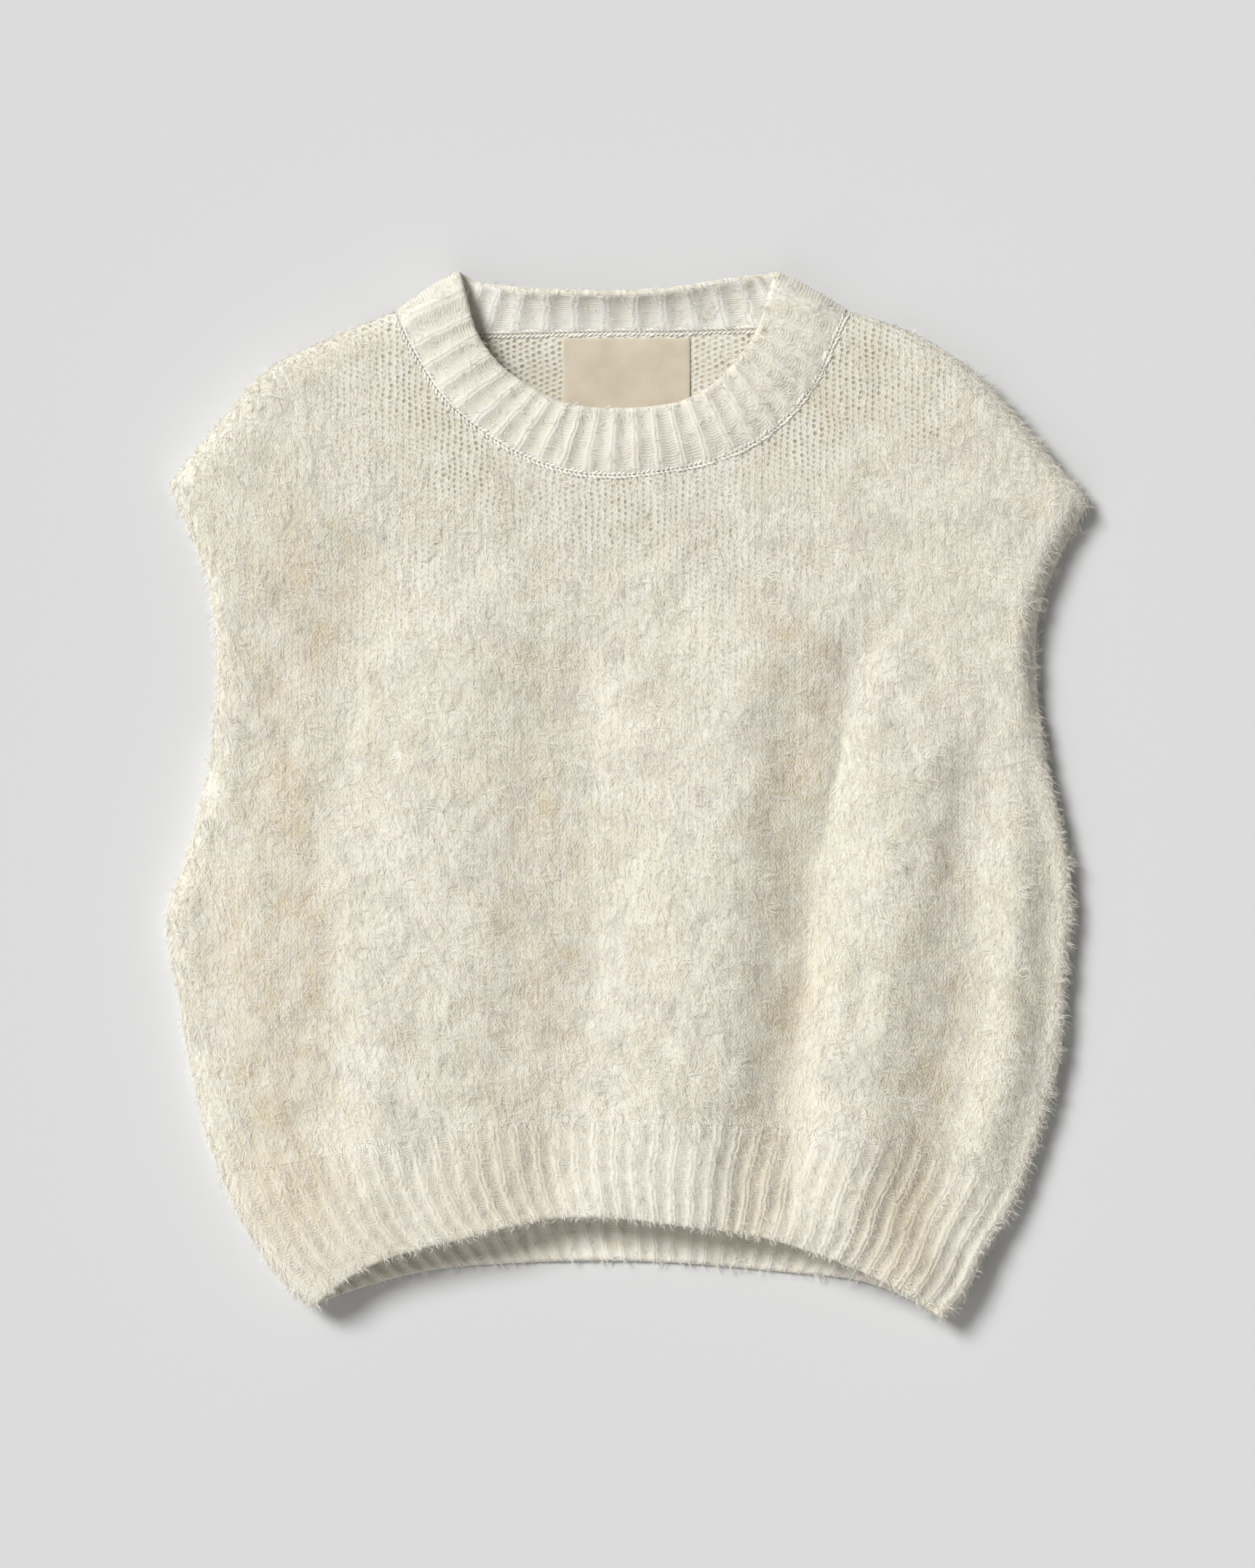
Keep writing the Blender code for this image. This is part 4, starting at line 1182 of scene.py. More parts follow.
@dataclass
class HairMaker:
    """Grows tufts of loose hairs on a surface, with one Geometry Nodes tree."""

    material: bpy.types.Material
    fibres: int = 3
    width: float = 0.00025
    floor_gap: float = 0.0002  # that every hair keeps
    tufts: list[bpy.types.Object] = field(default_factory=list)
    tree: Tree | None = None

    LEFTOVER = ("aside", "rise", "across", "pile", "hair", "stray", "thin", "trough", "join")

    def tuft(self, kind: TuftKind, seed: int) -> bpy.types.Object:
        """One tuft of length 1 along +Z, its ribbons facing +Y.

        Args:
            kind: how far its hairs curl.
            seed: of its random shape.

        Returns:
            A mesh object, linked to the scene until the hairs are grown.
        """
        draw = np.random.default_rng(seed)
        points: list[tuple[float, ...]] = []
        faces: list[tuple[int, ...]] = []
        stations = np.array([0.0, 0.4, 0.75, 1.0])
        for _ in range(self.fibres):
            start = len(points)
            root = draw.uniform(-0.10, 0.10, 3) * (1, 0.3, 0.5)
            drift = draw.uniform(-1, 1, 2) * kind.value
            bow = draw.uniform(-1, 1, 2) * kind.value * 0.6
            reach = draw.uniform(0.65, 1.0)
            for n, s in enumerate(stations):
                x = root[0] + drift[0] * s * s + bow[0] * math.sin(math.pi * s)
                y = root[1] + 0.35 * drift[1] * s * s + 0.35 * bow[1] * math.sin(math.pi * s)
                z = root[2] + reach * s
                half = 0.5 * (1.0 - 0.55 * s)
                if n < len(stations) - 1:
                    points += [(x, y, z, -half), (x, y, z, half)]
                else:
                    points.append((x, y, z, 0.0))
            faces += [
                (start, start + 1, start + 3, start + 2),
                (start + 2, start + 3, start + 5, start + 4),
                (start + 4, start + 5, start + 6),
            ]
        mesh = bpy.data.meshes.new(f"tuft_{kind.name.lower()}_{seed}")
        mesh.from_pydata([(x, y, z) for x, y, z, _ in points], [], faces)
        offset = mesh.attributes.new("aside", "FLOAT", "POINT")
        offset.data.foreach_set("value", [side for *_, side in points])
        rise = mesh.attributes.new("rise", "FLOAT", "POINT")
        rise.data.foreach_set("value", [max(0.0, point[2]) for point in points])
        tuft = bpy.data.objects.new(mesh.name, mesh)
        bpy.context.scene.collection.objects.link(tuft)
        return tuft

    def prepare(self) -> None:
        """Makes the tufts and the tree."""
        self.tufts = [self.tuft(kind, 40 + n) for n, kind in enumerate([*TuftKind, TuftKind.BENT])]
        self.tree = self.make_tree()

    def make_tree(self) -> Tree:
        """The tree: points on the surface, a tuft on each, leaning and combed."""
        settings = ("Density", "Length", "Lean", "Spread", "Comb X", "Comb Y", "Width")
        tree = Tree("loose_hairs", settings)
        given, number, vector, chance = tree.given, tree.number, tree.vector, tree.chance
        scatter = tree.node(
            "GeometryNodeDistributePointsOnFaces",
            {
                "Mesh": given["Geometry"],
                "Density": number("MULTIPLY", given["Density"], tree.attribute("pile")),
                "Seed": given["Seed"],
            },
            distribute_method="RANDOM",
        )
        up = scatter.outputs["Normal"]
        join = tree.node("GeometryNodeJoinGeometry")
        for tuft in self.tufts:
            tree.put(tree.shape(tuft), join.inputs[0])

        spin = number("MULTIPLY", chance(-1, 1, 1), chance(0.2, 1, 2))
        spin = number("MULTIPLY", spin, given["Spread"])
        comb = tree.node("ShaderNodeCombineXYZ", {0: given["Comb X"], 1: given["Comb Y"]})
        turn = {"Vector": comb.outputs[0], "Angle": spin}
        flat = tree.node("ShaderNodeVectorRotate", turn, rotation_type="Z_AXIS").outputs[0]
        upright = vector("SCALE", up, vector("DOT_PRODUCT", flat, up))
        tangent = vector("NORMALIZE", vector("SUBTRACT", flat, upright))
        lean = number("MULTIPLY", given["Lean"], chance(0.91, 1.06, 3))
        stray = number("MULTIPLY", tree.attribute("stray"), chance(0.0, 0.58, 5))
        lean = number("MULTIPLY", lean, number("SUBTRACT", 1.0, stray))
        rise = vector("SCALE", up, number("COSINE", lean))
        direction = vector("ADD", rise, vector("SCALE", tangent, number("SINE", lean)))
        aside = vector("CROSS_PRODUCT", up, direction)
        axes = tree.node(
            "FunctionNodeAxesToRotation",
            {"Primary Axis": direction, "Secondary Axis": aside},
            primary_axis="Z",
            secondary_axis="X",
        )

        size = number("MULTIPLY", given["Length"], chance(0.55, 1.25, 4))
        place = tree.node(
            "GeometryNodeInstanceOnPoints",
            {
                "Points": scatter.outputs["Points"],
                "Instance": join.outputs[0],
                "Pick Instance": True,
                "Rotation": axes.outputs[0],
                "Scale": number("MULTIPLY", size, tree.attribute("hair")),
            },
        )
        store = tree.node(
            "GeometryNodeStoreNamedAttribute",
            {
                "Geometry": place.outputs[0],
                "Name": "across",
                "Value": vector("NORMALIZE", vector("CROSS_PRODUCT", up, direction)),
            },
            data_type="FLOAT_VECTOR",
            domain="INSTANCE",
        )
        hairs = tree.node("GeometryNodeRealizeInstances", {0: store.outputs[0]}).outputs[0]

        spot = tree.node("GeometryNodeInputPosition").outputs[0]
        ripple = tree.node("ShaderNodeTexNoise", {"Vector": spot, "Scale": 210.0, "Detail": 2.0})
        wave = vector("SUBTRACT", ripple.outputs["Color"], (0.5, 0.5, 0.5))
        wave = vector("SCALE", wave, number("MULTIPLY", tree.attribute("rise"), 0.0034))
        width = number("MULTIPLY", tree.attribute("aside"), given["Width"])
        offset = vector("SCALE", tree.attribute("across", "FLOAT_VECTOR"), width)
        offset = vector("ADD", wave, offset)
        hairs = tree.node("GeometryNodeSetPosition", {"Geometry": hairs, "Offset": offset})
        spot = tree.node("GeometryNodeInputPosition").outputs[0]
        clear = vector("MAXIMUM", spot, (-9.0, -9.0, self.floor_gap))
        hairs = tree.node(
            "GeometryNodeSetPosition", {"Geometry": hairs.outputs[0], "Position": clear}
        )
        tree.finish(hairs.outputs[0], self.material)
        return tree

    def grow(self, surface: bpy.types.Object, coat: Coat) -> bpy.types.Object:
        """Hairs on a surface, as a plain mesh piece.

        Args:
            surface: its mesh holds pile and hair, both 0 to 1 at each point.
            coat: how it is covered.

        Returns:
            The piece, at the origin.
        """
        settings = {
            "Density": coat.density,
            "Length": coat.length,
            "Lean": math.radians(coat.lean),
            "Spread": math.radians(coat.spread),
            "Comb X": coat.comb[0],
            "Comb Y": coat.comb[1],
            "Width": self.width,
            "Seed": coat.seed,
        }
        piece = self.tree.apply(surface.data, coat.name, settings)
        for key in self.LEFTOVER:
            found = piece.data.attributes.get(key)
            if found is not None:
                piece.data.attributes.remove(found)
        return piece

    def clear(self) -> None:
        """Removes the tufts once all hairs are grown."""
        for tuft in self.tufts:
            bpy.data.objects.remove(tuft)


# --------------------------------------------------------------------------- pieces


def register(piece: bpy.types.Object, slot: str, *nodes: str) -> None:
    """Puts a piece on the body, hides the solids that it stands for and logs its triangles."""
    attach(piece, BODY)
    if nodes:
        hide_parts(*nodes)
    piece.data.calc_loop_triangles()
    LOG.info("%s: %d triangles", piece.name, len(piece.data.loop_triangles))


def moved(wall_points: np.ndarray, origin: np.ndarray) -> np.ndarray:
    """The points from the plan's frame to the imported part's."""
    return wall_points + np.array([origin[0], origin[1], 0.0])


HEM_RIBS = 40
RIDGE_PLACE = 0.64  # of the first ridge, in the first rib


def join_ribs(across: np.ndarray, rise: float = 0.0004) -> np.ndarray:
    """How far the ribs stand out where a panel and its hem are joined."""
    wave = 0.5 + 0.5 * np.cos(2 * np.pi * (across * HEM_RIBS - RIDGE_PLACE))
    edge = np.minimum(across, 1 - across) * HEM_RIBS
    return rise * wave * (1 - fade(edge / 0.5))


@dataclass
class Panels:
    """Front and back of the body, in plain knit."""

    layers: Layers
    origin: np.ndarray
    knit: bpy.types.Material
    purl: bpy.types.Material
    edge_columns: tuple[float, ...] = (
        0.0, 0.0012, 0.0036, 0.0075, 0.0133, 0.0200, 0.0270, 0.0350, 0.0425, 0.0500,
    )  # fmt: skip
    neck_columns: tuple[float, ...] = (0.0, 0.0025, 0.0053, 0.0100, 0.0150, 0.0200, 0.0300, 0.0400)
    upper_share: float = 0.86
    top_rows: tuple[float, ...] = (0.9640, 0.9730, 0.9800, 0.9867, 0.9920, 0.9964, 0.9988, 1.0)
    shoulder_share: float = 0.25
    free_width: float = 0.004
    lump: float = 0.0011
    rim_pile: float = 0.9
    # Where the pile is thin: middle x and y, half width and height, amount
    net_patches: tuple[tuple[float, ...], ...] = (
        (0.108, 0.222, 0.085, 0.075, 0.95),
        (-0.108, 0.214, 0.080, 0.085, 0.80),
        (0.0, 0.150, 0.130, 0.060, 0.45),
        (0.060, 0.090, 0.060, 0.080, 0.30),
        (0.010, -0.010, 0.070, 0.060, 0.22),
        (-0.120, 0.120, 0.070, 0.090, 0.25),
    )

    def across(self, shoulder_steps: int, neck_steps: int) -> np.ndarray:
        """Shares across a panel, close together at its sides and beside the neck."""
        edge = np.array(self.edge_columns)
        shoulder = np.concatenate(
            [edge[:-1], np.linspace(edge[-1], self.shoulder_share, shoulder_steps + 1)]
        )
        near = np.array(self.neck_columns)
        open_part = np.linspace(near[-1], 1 - near[-1], neck_steps + 1)
        neck = np.concatenate([near[:-1], open_part, 1 - near[-2::-1]])
        middle = self.shoulder_share + (1 - 2 * self.shoulder_share) * neck
        return np.concatenate([shoulder[:-1], middle, 1 - shoulder[-2::-1]])

    def up(self, lower: int, upper: int) -> np.ndarray:
        """Shares up a panel, close together at its top."""
        low = np.linspace(0.0, self.upper_share, lower + 1)[:-1]
        low = np.concatenate([low[:1], [0.0003], low[1:]])
        high = np.linspace(self.upper_share, self.top_rows[0], upper + 1)[:-1]
        return np.concatenate([low, high, self.top_rows])

    def patch(self, neck: PlanLine, rib: PlanLine, height: Height) -> Patch:
        """The stretch of a layer from the ribs to the shoulders and neck."""
        layers = self.layers
        ends = (0.0, self.shoulder_share, 1 - self.shoulder_share, 1.0)
        top = PlanLine.joined((layers.left_shoulder, neck, layers.right_shoulder.backwards()), ends)
        left, right = layers.sides(True)
        points = rib.points.copy()
        points[0], points[-1] = left.points[0], right.points[0]
        return Patch(PlanLine(points, rib.shares), top, left, right, height)

    @staticmethod
    def rising(rib: PlanLine) -> tuple[np.ndarray, np.ndarray]:
        """x and y of the rib line, with x rising."""
        order = rib.points[:, 0].argsort()
        return rib.points[order, 0], rib.points[order, 1]

    def knit_map(self, plan: np.ndarray, across: np.ndarray, rib: PlanLine) -> np.ndarray:
        """Place in the cloth: upright wales above, gathered into the ribs below."""
        gathered = fade((plan[..., 1] + 0.190) / 0.130)
        share = (across[:, None] - 0.5) * 0.470
        u = plan[..., 0] * (1 - gathered) + share * gathered
        base = np.interp(plan[..., 0], *self.rising(rib))
        v = plan[..., 1] - gathered * (base + 0.175)
        return np.stack([u, v], -1)

    def wall(
        self, patch: Patch, across: np.ndarray, up: np.ndarray, facing: int, rib: PlanLine
    ) -> Wall:
        """Grids of one panel, with its rounded armhole edges, lumps and pile."""
        layers, sizes = self.layers, self.layers.plan
        middle, normals = patch.grid(across, up, facing)
        plan = middle[..., :2]
        seam = layers.seam_distance(plan)
        armhole = layers.armhole_distance(plan)
        neck = (layers.front_neck if facing > 0 else layers.back_neck).distance(plan)
        border = np.zeros(plan.shape[:2], bool)
        border[[0, -1]] = True
        free = border & (armhole < 1e-4) & (seam > 0.002)
        thick = np.full(plan.shape[:2], sizes.wall / 2)
        up_thick = thick.copy()
        above = plan[..., 1] - np.interp(plan[..., 0], *self.rising(rib))
        if facing > 0:
            calm = (1 - fade(seam / 0.025)) * (1 - fade(neck / 0.012)) * (1 - fade(armhole / 0.012))
            low = fade((plan[..., 1] + 0.02) / 0.20)
            lumps = rough_field(plan, 0.016, 2.0, 3) * (0.45 + 0.55 * low)
            lumps = lumps * (1 - fade(above / 0.012))
            up_thick = up_thick + self.lump * lumps * calm
            up_thick = up_thick + join_ribs(across)[:, None] * fade(above / 0.045)
        thin = self.openness(plan, neck, facing)
        join = np.maximum(fade(np.abs(above) / 0.008), fade(neck / 0.0045))
        clouds = 1 + 0.45 * rough_field(plan, 0.016, 61.0, 2)
        # Fewer hairs grow along the painted shade bands.
        pile = np.clip(1.0 - 0.80 * thin, 0.10, 1.0) * clouds * (1 - 0.45 * layers.painted_shade(plan))
        pile = np.clip(pile, 0.05, 1.3)
        return Wall(
            middle=moved(middle, self.origin),
            normals=normals,
            up=up_thick,
            down=thick,
            cloth=self.knit_map(plan, across, rib),
            round_off=np.where(free, sizes.wall / 2, 0.0),
            values={
                "thin": thin,
                "pile": pile * (1 + self.rim_pile * fade(np.minimum(seam, armhole) / 0.012)),
                "stray": fade(np.minimum(seam, armhole) / 0.007),
                "hair": (0.50 + 0.50 * pile) * (1 - 0.35 * fade(np.minimum(seam, armhole) / 0.010)),
                # Painted shade along the shade bands, on the front layer only.
                "trough": layers.painted_shade(plan) * (facing > 0),
                "join": join,
            },
            pile_sides=(1.0, 0.0) if facing > 0 else (0.45, 0.55),
        )

    def openness(self, plan: np.ndarray, neck: np.ndarray, facing: int) -> np.ndarray:
        """How far the pile lets the open stitches show, from 0 to 1.

        Args:
            plan: places on the panel.
            neck: their distance from the neckline.
            facing: 1 on the front and -1 on the back.

        Returns:
            One share for each place.
        """
        thin = 0.10 + 0.13 * rough_field(plan, 0.030, 11.0, 2) + 0.30 * fade(neck / 0.050)
        for x, y, wide, high, amount in self.net_patches:
            reach = np.hypot((plan[..., 0] - x) / wide, (plan[..., 1] - y) / high)
            reach = reach + 0.30 * rough_field(plan, 0.035, 7.0 + wide, 2)
            thin = thin + amount * fade(reach)
        if facing < 0:
            thin = thin + 0.35 * fade((0.215 - plan[..., 1]) / 0.06)
        return np.clip(thin, 0.0, 1.0)

    def neck_rim(
        self, wall_patch: Patch, neck_shares: np.ndarray, facing: int
    ) -> tuple[np.ndarray, np.ndarray]:
        """Middle points and normals along a panel's neckline."""
        across = self.shoulder_share + (1 - 2 * self.shoulder_share) * neck_shares
        middle, normals = wall_patch.grid(across, np.array([1.0]), facing)
        return middle[:, 0], turned_to_folds(normals[:, 0], self.layers.plan)

    def fit_to_band(self, wall: Wall, facing: int) -> Wall:
        """Draws the neck rim back from the neckband by the seam's gap."""
        sizes = self.layers.plan
        rim = wall.middle[:, -1]
        neck = self.layers.front_neck if facing > 0 else self.layers.back_neck
        flat = rim[:, :2] - self.origin
        on_neck = neck.distance(flat) < 2e-5
        first, last = np.flatnonzero(on_neck)[[0, -1]]
        span = slice(first, last + 1)
        wall.normals[span, -1] = turned_to_folds(wall.normals[span, -1], sizes)
        points = rim[span].copy()
        inward = unit(np.cross(unit(np.gradient(points, axis=0)), wall.normals[span, -1])) * facing
        from_fold = np.linalg.norm(points[:, None, :2] - points[[0, -1], :2], axis=-1).min(1)
        gap = sizes.seam_gap * (1 + fade(from_fold / 0.008))
        wall.middle[span, -1] = points + inward * gap[:, None]
        return wall


def turned_to_folds(normals: np.ndarray, plan: GarmentPlan) -> np.ndarray:
    """The neck rim's normals, square to the neckband's fold at each shoulder."""
    for place, row in ((0, plan.front_band[0]), (-1, plan.front_band[-1])):
        square = unit(np.array([row[1] - row[3], row[2] - row[0], 0.0]))
        normals[place] = square * np.sign(square @ normals[place])
    return normals


@dataclass
class HemRibs:
    """The two ribbed hem bands."""

    layers: Layers
    origin: np.ndarray
    ribs: int = HEM_RIBS
    stations: int = 9
    rows: int = 24
    rise: float = 0.00085
    roll: float = 0.0006
    width: float = 0.330

    def wall(self, edge_rows: Sequence, rib: PlanLine, height: Height, facing: int) -> Wall:
        """Grids of one band, with ribs on the face that is up and a rounded free edge."""
        layers, sizes = self.layers, self.layers.plan
        left, right = layers.sides(False)
        points = rib.points.copy()
        points[0], points[-1] = left.points[-1], right.points[-1]
        top = PlanLine(points, rib.shares)
        patch = Patch(PlanLine.through(edge_rows), top, left, right, height)
        inner = np.linspace(0.0, 1.0, self.ribs * self.stations + 1)
        extra = np.array([0.0006, 0.0015])
        across = np.unique(np.concatenate([inner, extra, 1 - extra]))
        up = np.linspace(0.0, 1.0, self.rows + 1)
        up = np.concatenate([up[:-1], [0.998], up[-1:]])
        middle, normals = patch.grid(across, up, facing)
        plan = middle[..., :2]
        uneven = np.clip(0.75 + 0.5 * rough_field(plan, 0.022, 15.0, 2), 0.25, 1.0)
        growth = (1 - fade((1 - up) / 0.45))[None] * uneven * (0.75 + 0.25 * (1 - fade(up / 0.10)))
        joined = join_ribs(across)[:, None]
        relief = joined * (1 + (self.rise / 0.0004 - 1) * growth)
        seam = layers.seam_distance(plan)
        from_edge = patch.bottom.distance(plan)
        roll = self.roll * fade(from_edge / 0.008) * (0.7 + 0.6 * rough_field(plan, 0.011, 25.0, 2))
        rough = 0.00060 * rough_field(plan, 0.011, 5.0, 3) * (1 - fade((1 - up) / 0.15))[None]
        relief = relief + (rough + roll) * (1 - fade(seam / 0.010))
        half = np.full(relief.shape, sizes.wall / 2)
        up_side = half + relief
        free = np.zeros(relief.shape)
        free[:, 0] = sizes.wall / 2 + 0.0004
        free[[0, -1]] = 0.0
        pitch = self.width / self.ribs
        ones = np.ones(relief.shape)
        return Wall(
            middle=moved(middle, self.origin),
            normals=normals,
            up=up_side if facing > 0 else half,
            down=half if facing > 0 else up_side,
            cloth=np.stack(
                [
                    (across[:, None] * self.ribs - RIDGE_PLACE + 0.5) * pitch * ones,
                    up[None] * 0.070 * ones,
                ],
                -1,
            ),
            round_off=free,
            values={
                "pile": ones * (1 + 0.9 * fade(from_edge / 0.006) + 0.9 * fade(seam / 0.008)),
                "stray": np.maximum(fade(from_edge / 0.006), fade(seam / 0.010)),
                "hair": 0.70 + 0.30 * fade((1 - up) / 0.6)[None] * ones,
                # Painted shade along the shade bands, on the front band only.
                "trough": layers.painted_shade(plan) * (facing > 0),
                "join": fade((1 - up) / 0.12)[None] * ones,
            },
            pile_sides=(1.0, 0.15) if facing > 0 else (0.8, 1.0),
        )


@dataclass
class NeckBand:
    """The ribbed neckband: one ring, turned over at both shoulders."""

    layers: Layers
    origin: np.ndarray
    front_ribs: int = 24
    back_ribs: int = 15
    stations: int = 12
    rows: int = 18
    rise: float = 0.0010
    bow: float = 0.0015
    fold_height: float = 0.0130
    fold_run: float = 0.0080
    pitch: float = 0.0110

    def edge(self, rows: Sequence, shares: np.ndarray) -> np.ndarray:
        """Free edge of one half, turned over at its two shoulder folds."""
        plan_rows = np.array([row[2:4] for row in rows])
        knots = knots_along(np.array([row[:2] for row in rows]))
        values = smooth_points(knots, [row[2:5] for row in rows])
        along = np.linspace(0.0, 1.0, LINE_SAMPLES)
        points = np.stack([np.interp(shares, along, values[:, k]) for k in range(3)], -1)
        from_fold = np.linalg.norm(points[:, None, :2] - plan_rows[[0, -1]], axis=-1).min(1)
        above_fold = points[:, 2] - self.fold_height
        points[:, 2] = self.fold_height + above_fold * arch(from_fold / self.fold_run)
        return points

    def half(
        self, rows: Sequence, ribs: int, rim: Callable[[np.ndarray], tuple[np.ndarray, np.ndarray]]
    ) -> tuple[np.ndarray, ...]:
        """Stations of one half: seam points, rim normals, free edge and place in a rib."""
        extra = np.array([0.0004, 0.0012, 0.0030])
        shares = np.linspace(0.0, 1.0, ribs * self.stations + 1)
        shares = np.unique(np.concatenate([shares, extra, 1 - extra]))
        seam, normals = rim(shares)
        return seam, normals, self.edge(rows, shares), shares * ribs

    def normals(self, points: np.ndarray) -> np.ndarray:
        """Outward normals of the ring from its neighbours."""
        ahead = unit(np.roll(points, -1, axis=0) - points)
        along = unit(points - np.roll(points, 1, axis=0)) + ahead
        return unit(np.cross(unit(along), unit(np.gradient(points, axis=1))))

    def wall(self, panels: Panels, front: Patch, back: Patch) -> Wall:
        """Grids of the ring, with ribs on both faces."""
        plan = self.layers.plan
        halves = (
            self.half(plan.front_band, self.front_ribs, lambda s: panels.neck_rim(front, s, 1)),
            self.half(plan.back_band, self.back_ribs, lambda s: self.back_rim(panels, back, s)),
        )
        seam, rim, edge, place = (
            np.concatenate([part[:-1] for part in pair]) for pair in zip(*halves)
        )
        ribs = np.concatenate([halves[0][3][:-1], self.front_ribs + halves[1][3][:-1]])
        up = np.linspace(0.0, 1.0, self.rows + 1)[None, :, None]
        middle = (1 - up) * seam[:, None] + up * edge[:, None]
        normals = self.normals(middle)
        middle = middle + normals * self.bow * 4 * up * (1 - up)
        normals = self.normals(middle)
        normals[:, 0] = rim
        outer_wave = 0.5 - 0.5 * np.cos(2 * np.pi * place)
        inner_wave = 1 - outer_wave
        up = up[..., 0]
        share = (1 - fade(up / 0.10)) * (0.62 + 0.38 * (1 - fade((1 - up) / 0.12)))
        base = plan.wall / 2 - 0.0002 * (1 - fade(up / 0.08))
        outer = base + self.rise * outer_wave[:, None] * share
        inner = base + self.rise * inner_wave[:, None] * share
        shape = outer.shape
        rough = 0.0005 * rough_field(middle[..., :2], 0.010, 33.0, 2) * (1 - fade(up / 0.15))
        roll = 0.0005 * fade((1 - up) / 0.16)
        outer, inner = outer + rough + roll, inner + roll
        free = np.zeros(shape)
        free[:, -1] = plan.wall / 2 + 0.0003
        ones = np.ones(shape)
        fluffy = 0.55 + 0.45 * fade((0.075 - middle[..., 0]) / 0.055) * (middle[..., 1] < 0.262)
        return Wall(
            middle=moved(middle, self.origin),
            normals=normals,
            up=outer,
            down=inner,
            cloth=np.stack([ribs[:, None] * self.pitch * ones, up * 0.034 * ones], -1),
            round_off=free,
            values={
                "pile": fluffy * (1 + 0.8 * fade((1 - up) / 0.15) + 0.8 * fade(up / 0.18)),
                "stray": 0.7 * fade((1 - up) / 0.14) * ones,
                "hair": 0.45 + 0.55 * fluffy,
                "trough": 0.0 * ones,
                "join": fade(up / 0.14) * ones,
            },
            ring=True,
            wrap_u=(self.front_ribs + self.back_ribs) * self.pitch,
            pile_sides=(1.0, 0.75),
        )

    def back_rim(
        self, panels: Panels, back: Patch, shares: np.ndarray
    ) -> tuple[np.ndarray, np.ndarray]:
        """The back neckline from right to left."""
        middle, normals = panels.neck_rim(back, 1 - shares[::-1], -1)
        return middle[::-1], normals[::-1]


@dataclass
class Label:
    """The neck label, left bare: a satin strip sewn on along its top edge."""

    layers: Layers
    origin: np.ndarray
    width: float = 0.066
    length: float = 0.042
    middle_x: float = -0.0030
    top_y: float = 0.2430
    thickness: float = 0.0005
    gap: float = 0.0003

    def wall(self) -> Wall:
        """Grids of the strip, its free corners a little raised."""
        x = self.middle_x + self.width * (np.linspace(0.0, 1.0, 45) - 0.5)
        y = self.top_y - self.length * np.linspace(1.0, 0.0, 31)
        plan = np.stack(np.meshgrid(x, y, indexing="ij"), -1)
        lower = self.layers.back_height(plan) + self.layers.plan.wall / 2 + self.gap
        down = (self.top_y - plan[..., 1]) / self.length
        aside = np.abs(plan[..., 0] - self.middle_x) / (self.width / 2)
        lift = 0.0011 * down**2 * aside**2 + 0.0004 * np.sin(np.pi * down) * (1 - aside**2)
        middle = np.concatenate([plan, (lower + lift + self.thickness / 2)[..., None]], -1)
        along = np.gradient(middle, axis=0)
        normals = unit(np.cross(along, np.gradient(middle, axis=1)))
        shape = middle.shape[:2]
        half = np.full(shape, self.thickness / 2)
        free = np.zeros(shape)
        free[[0, -1]] = free[:, [0, -1]] = self.thickness / 2
        return Wall(
            middle=moved(middle, self.origin),
            normals=normals,
            up=half,
            down=half,
            cloth=plan.copy(),
            round_off=free,
        )


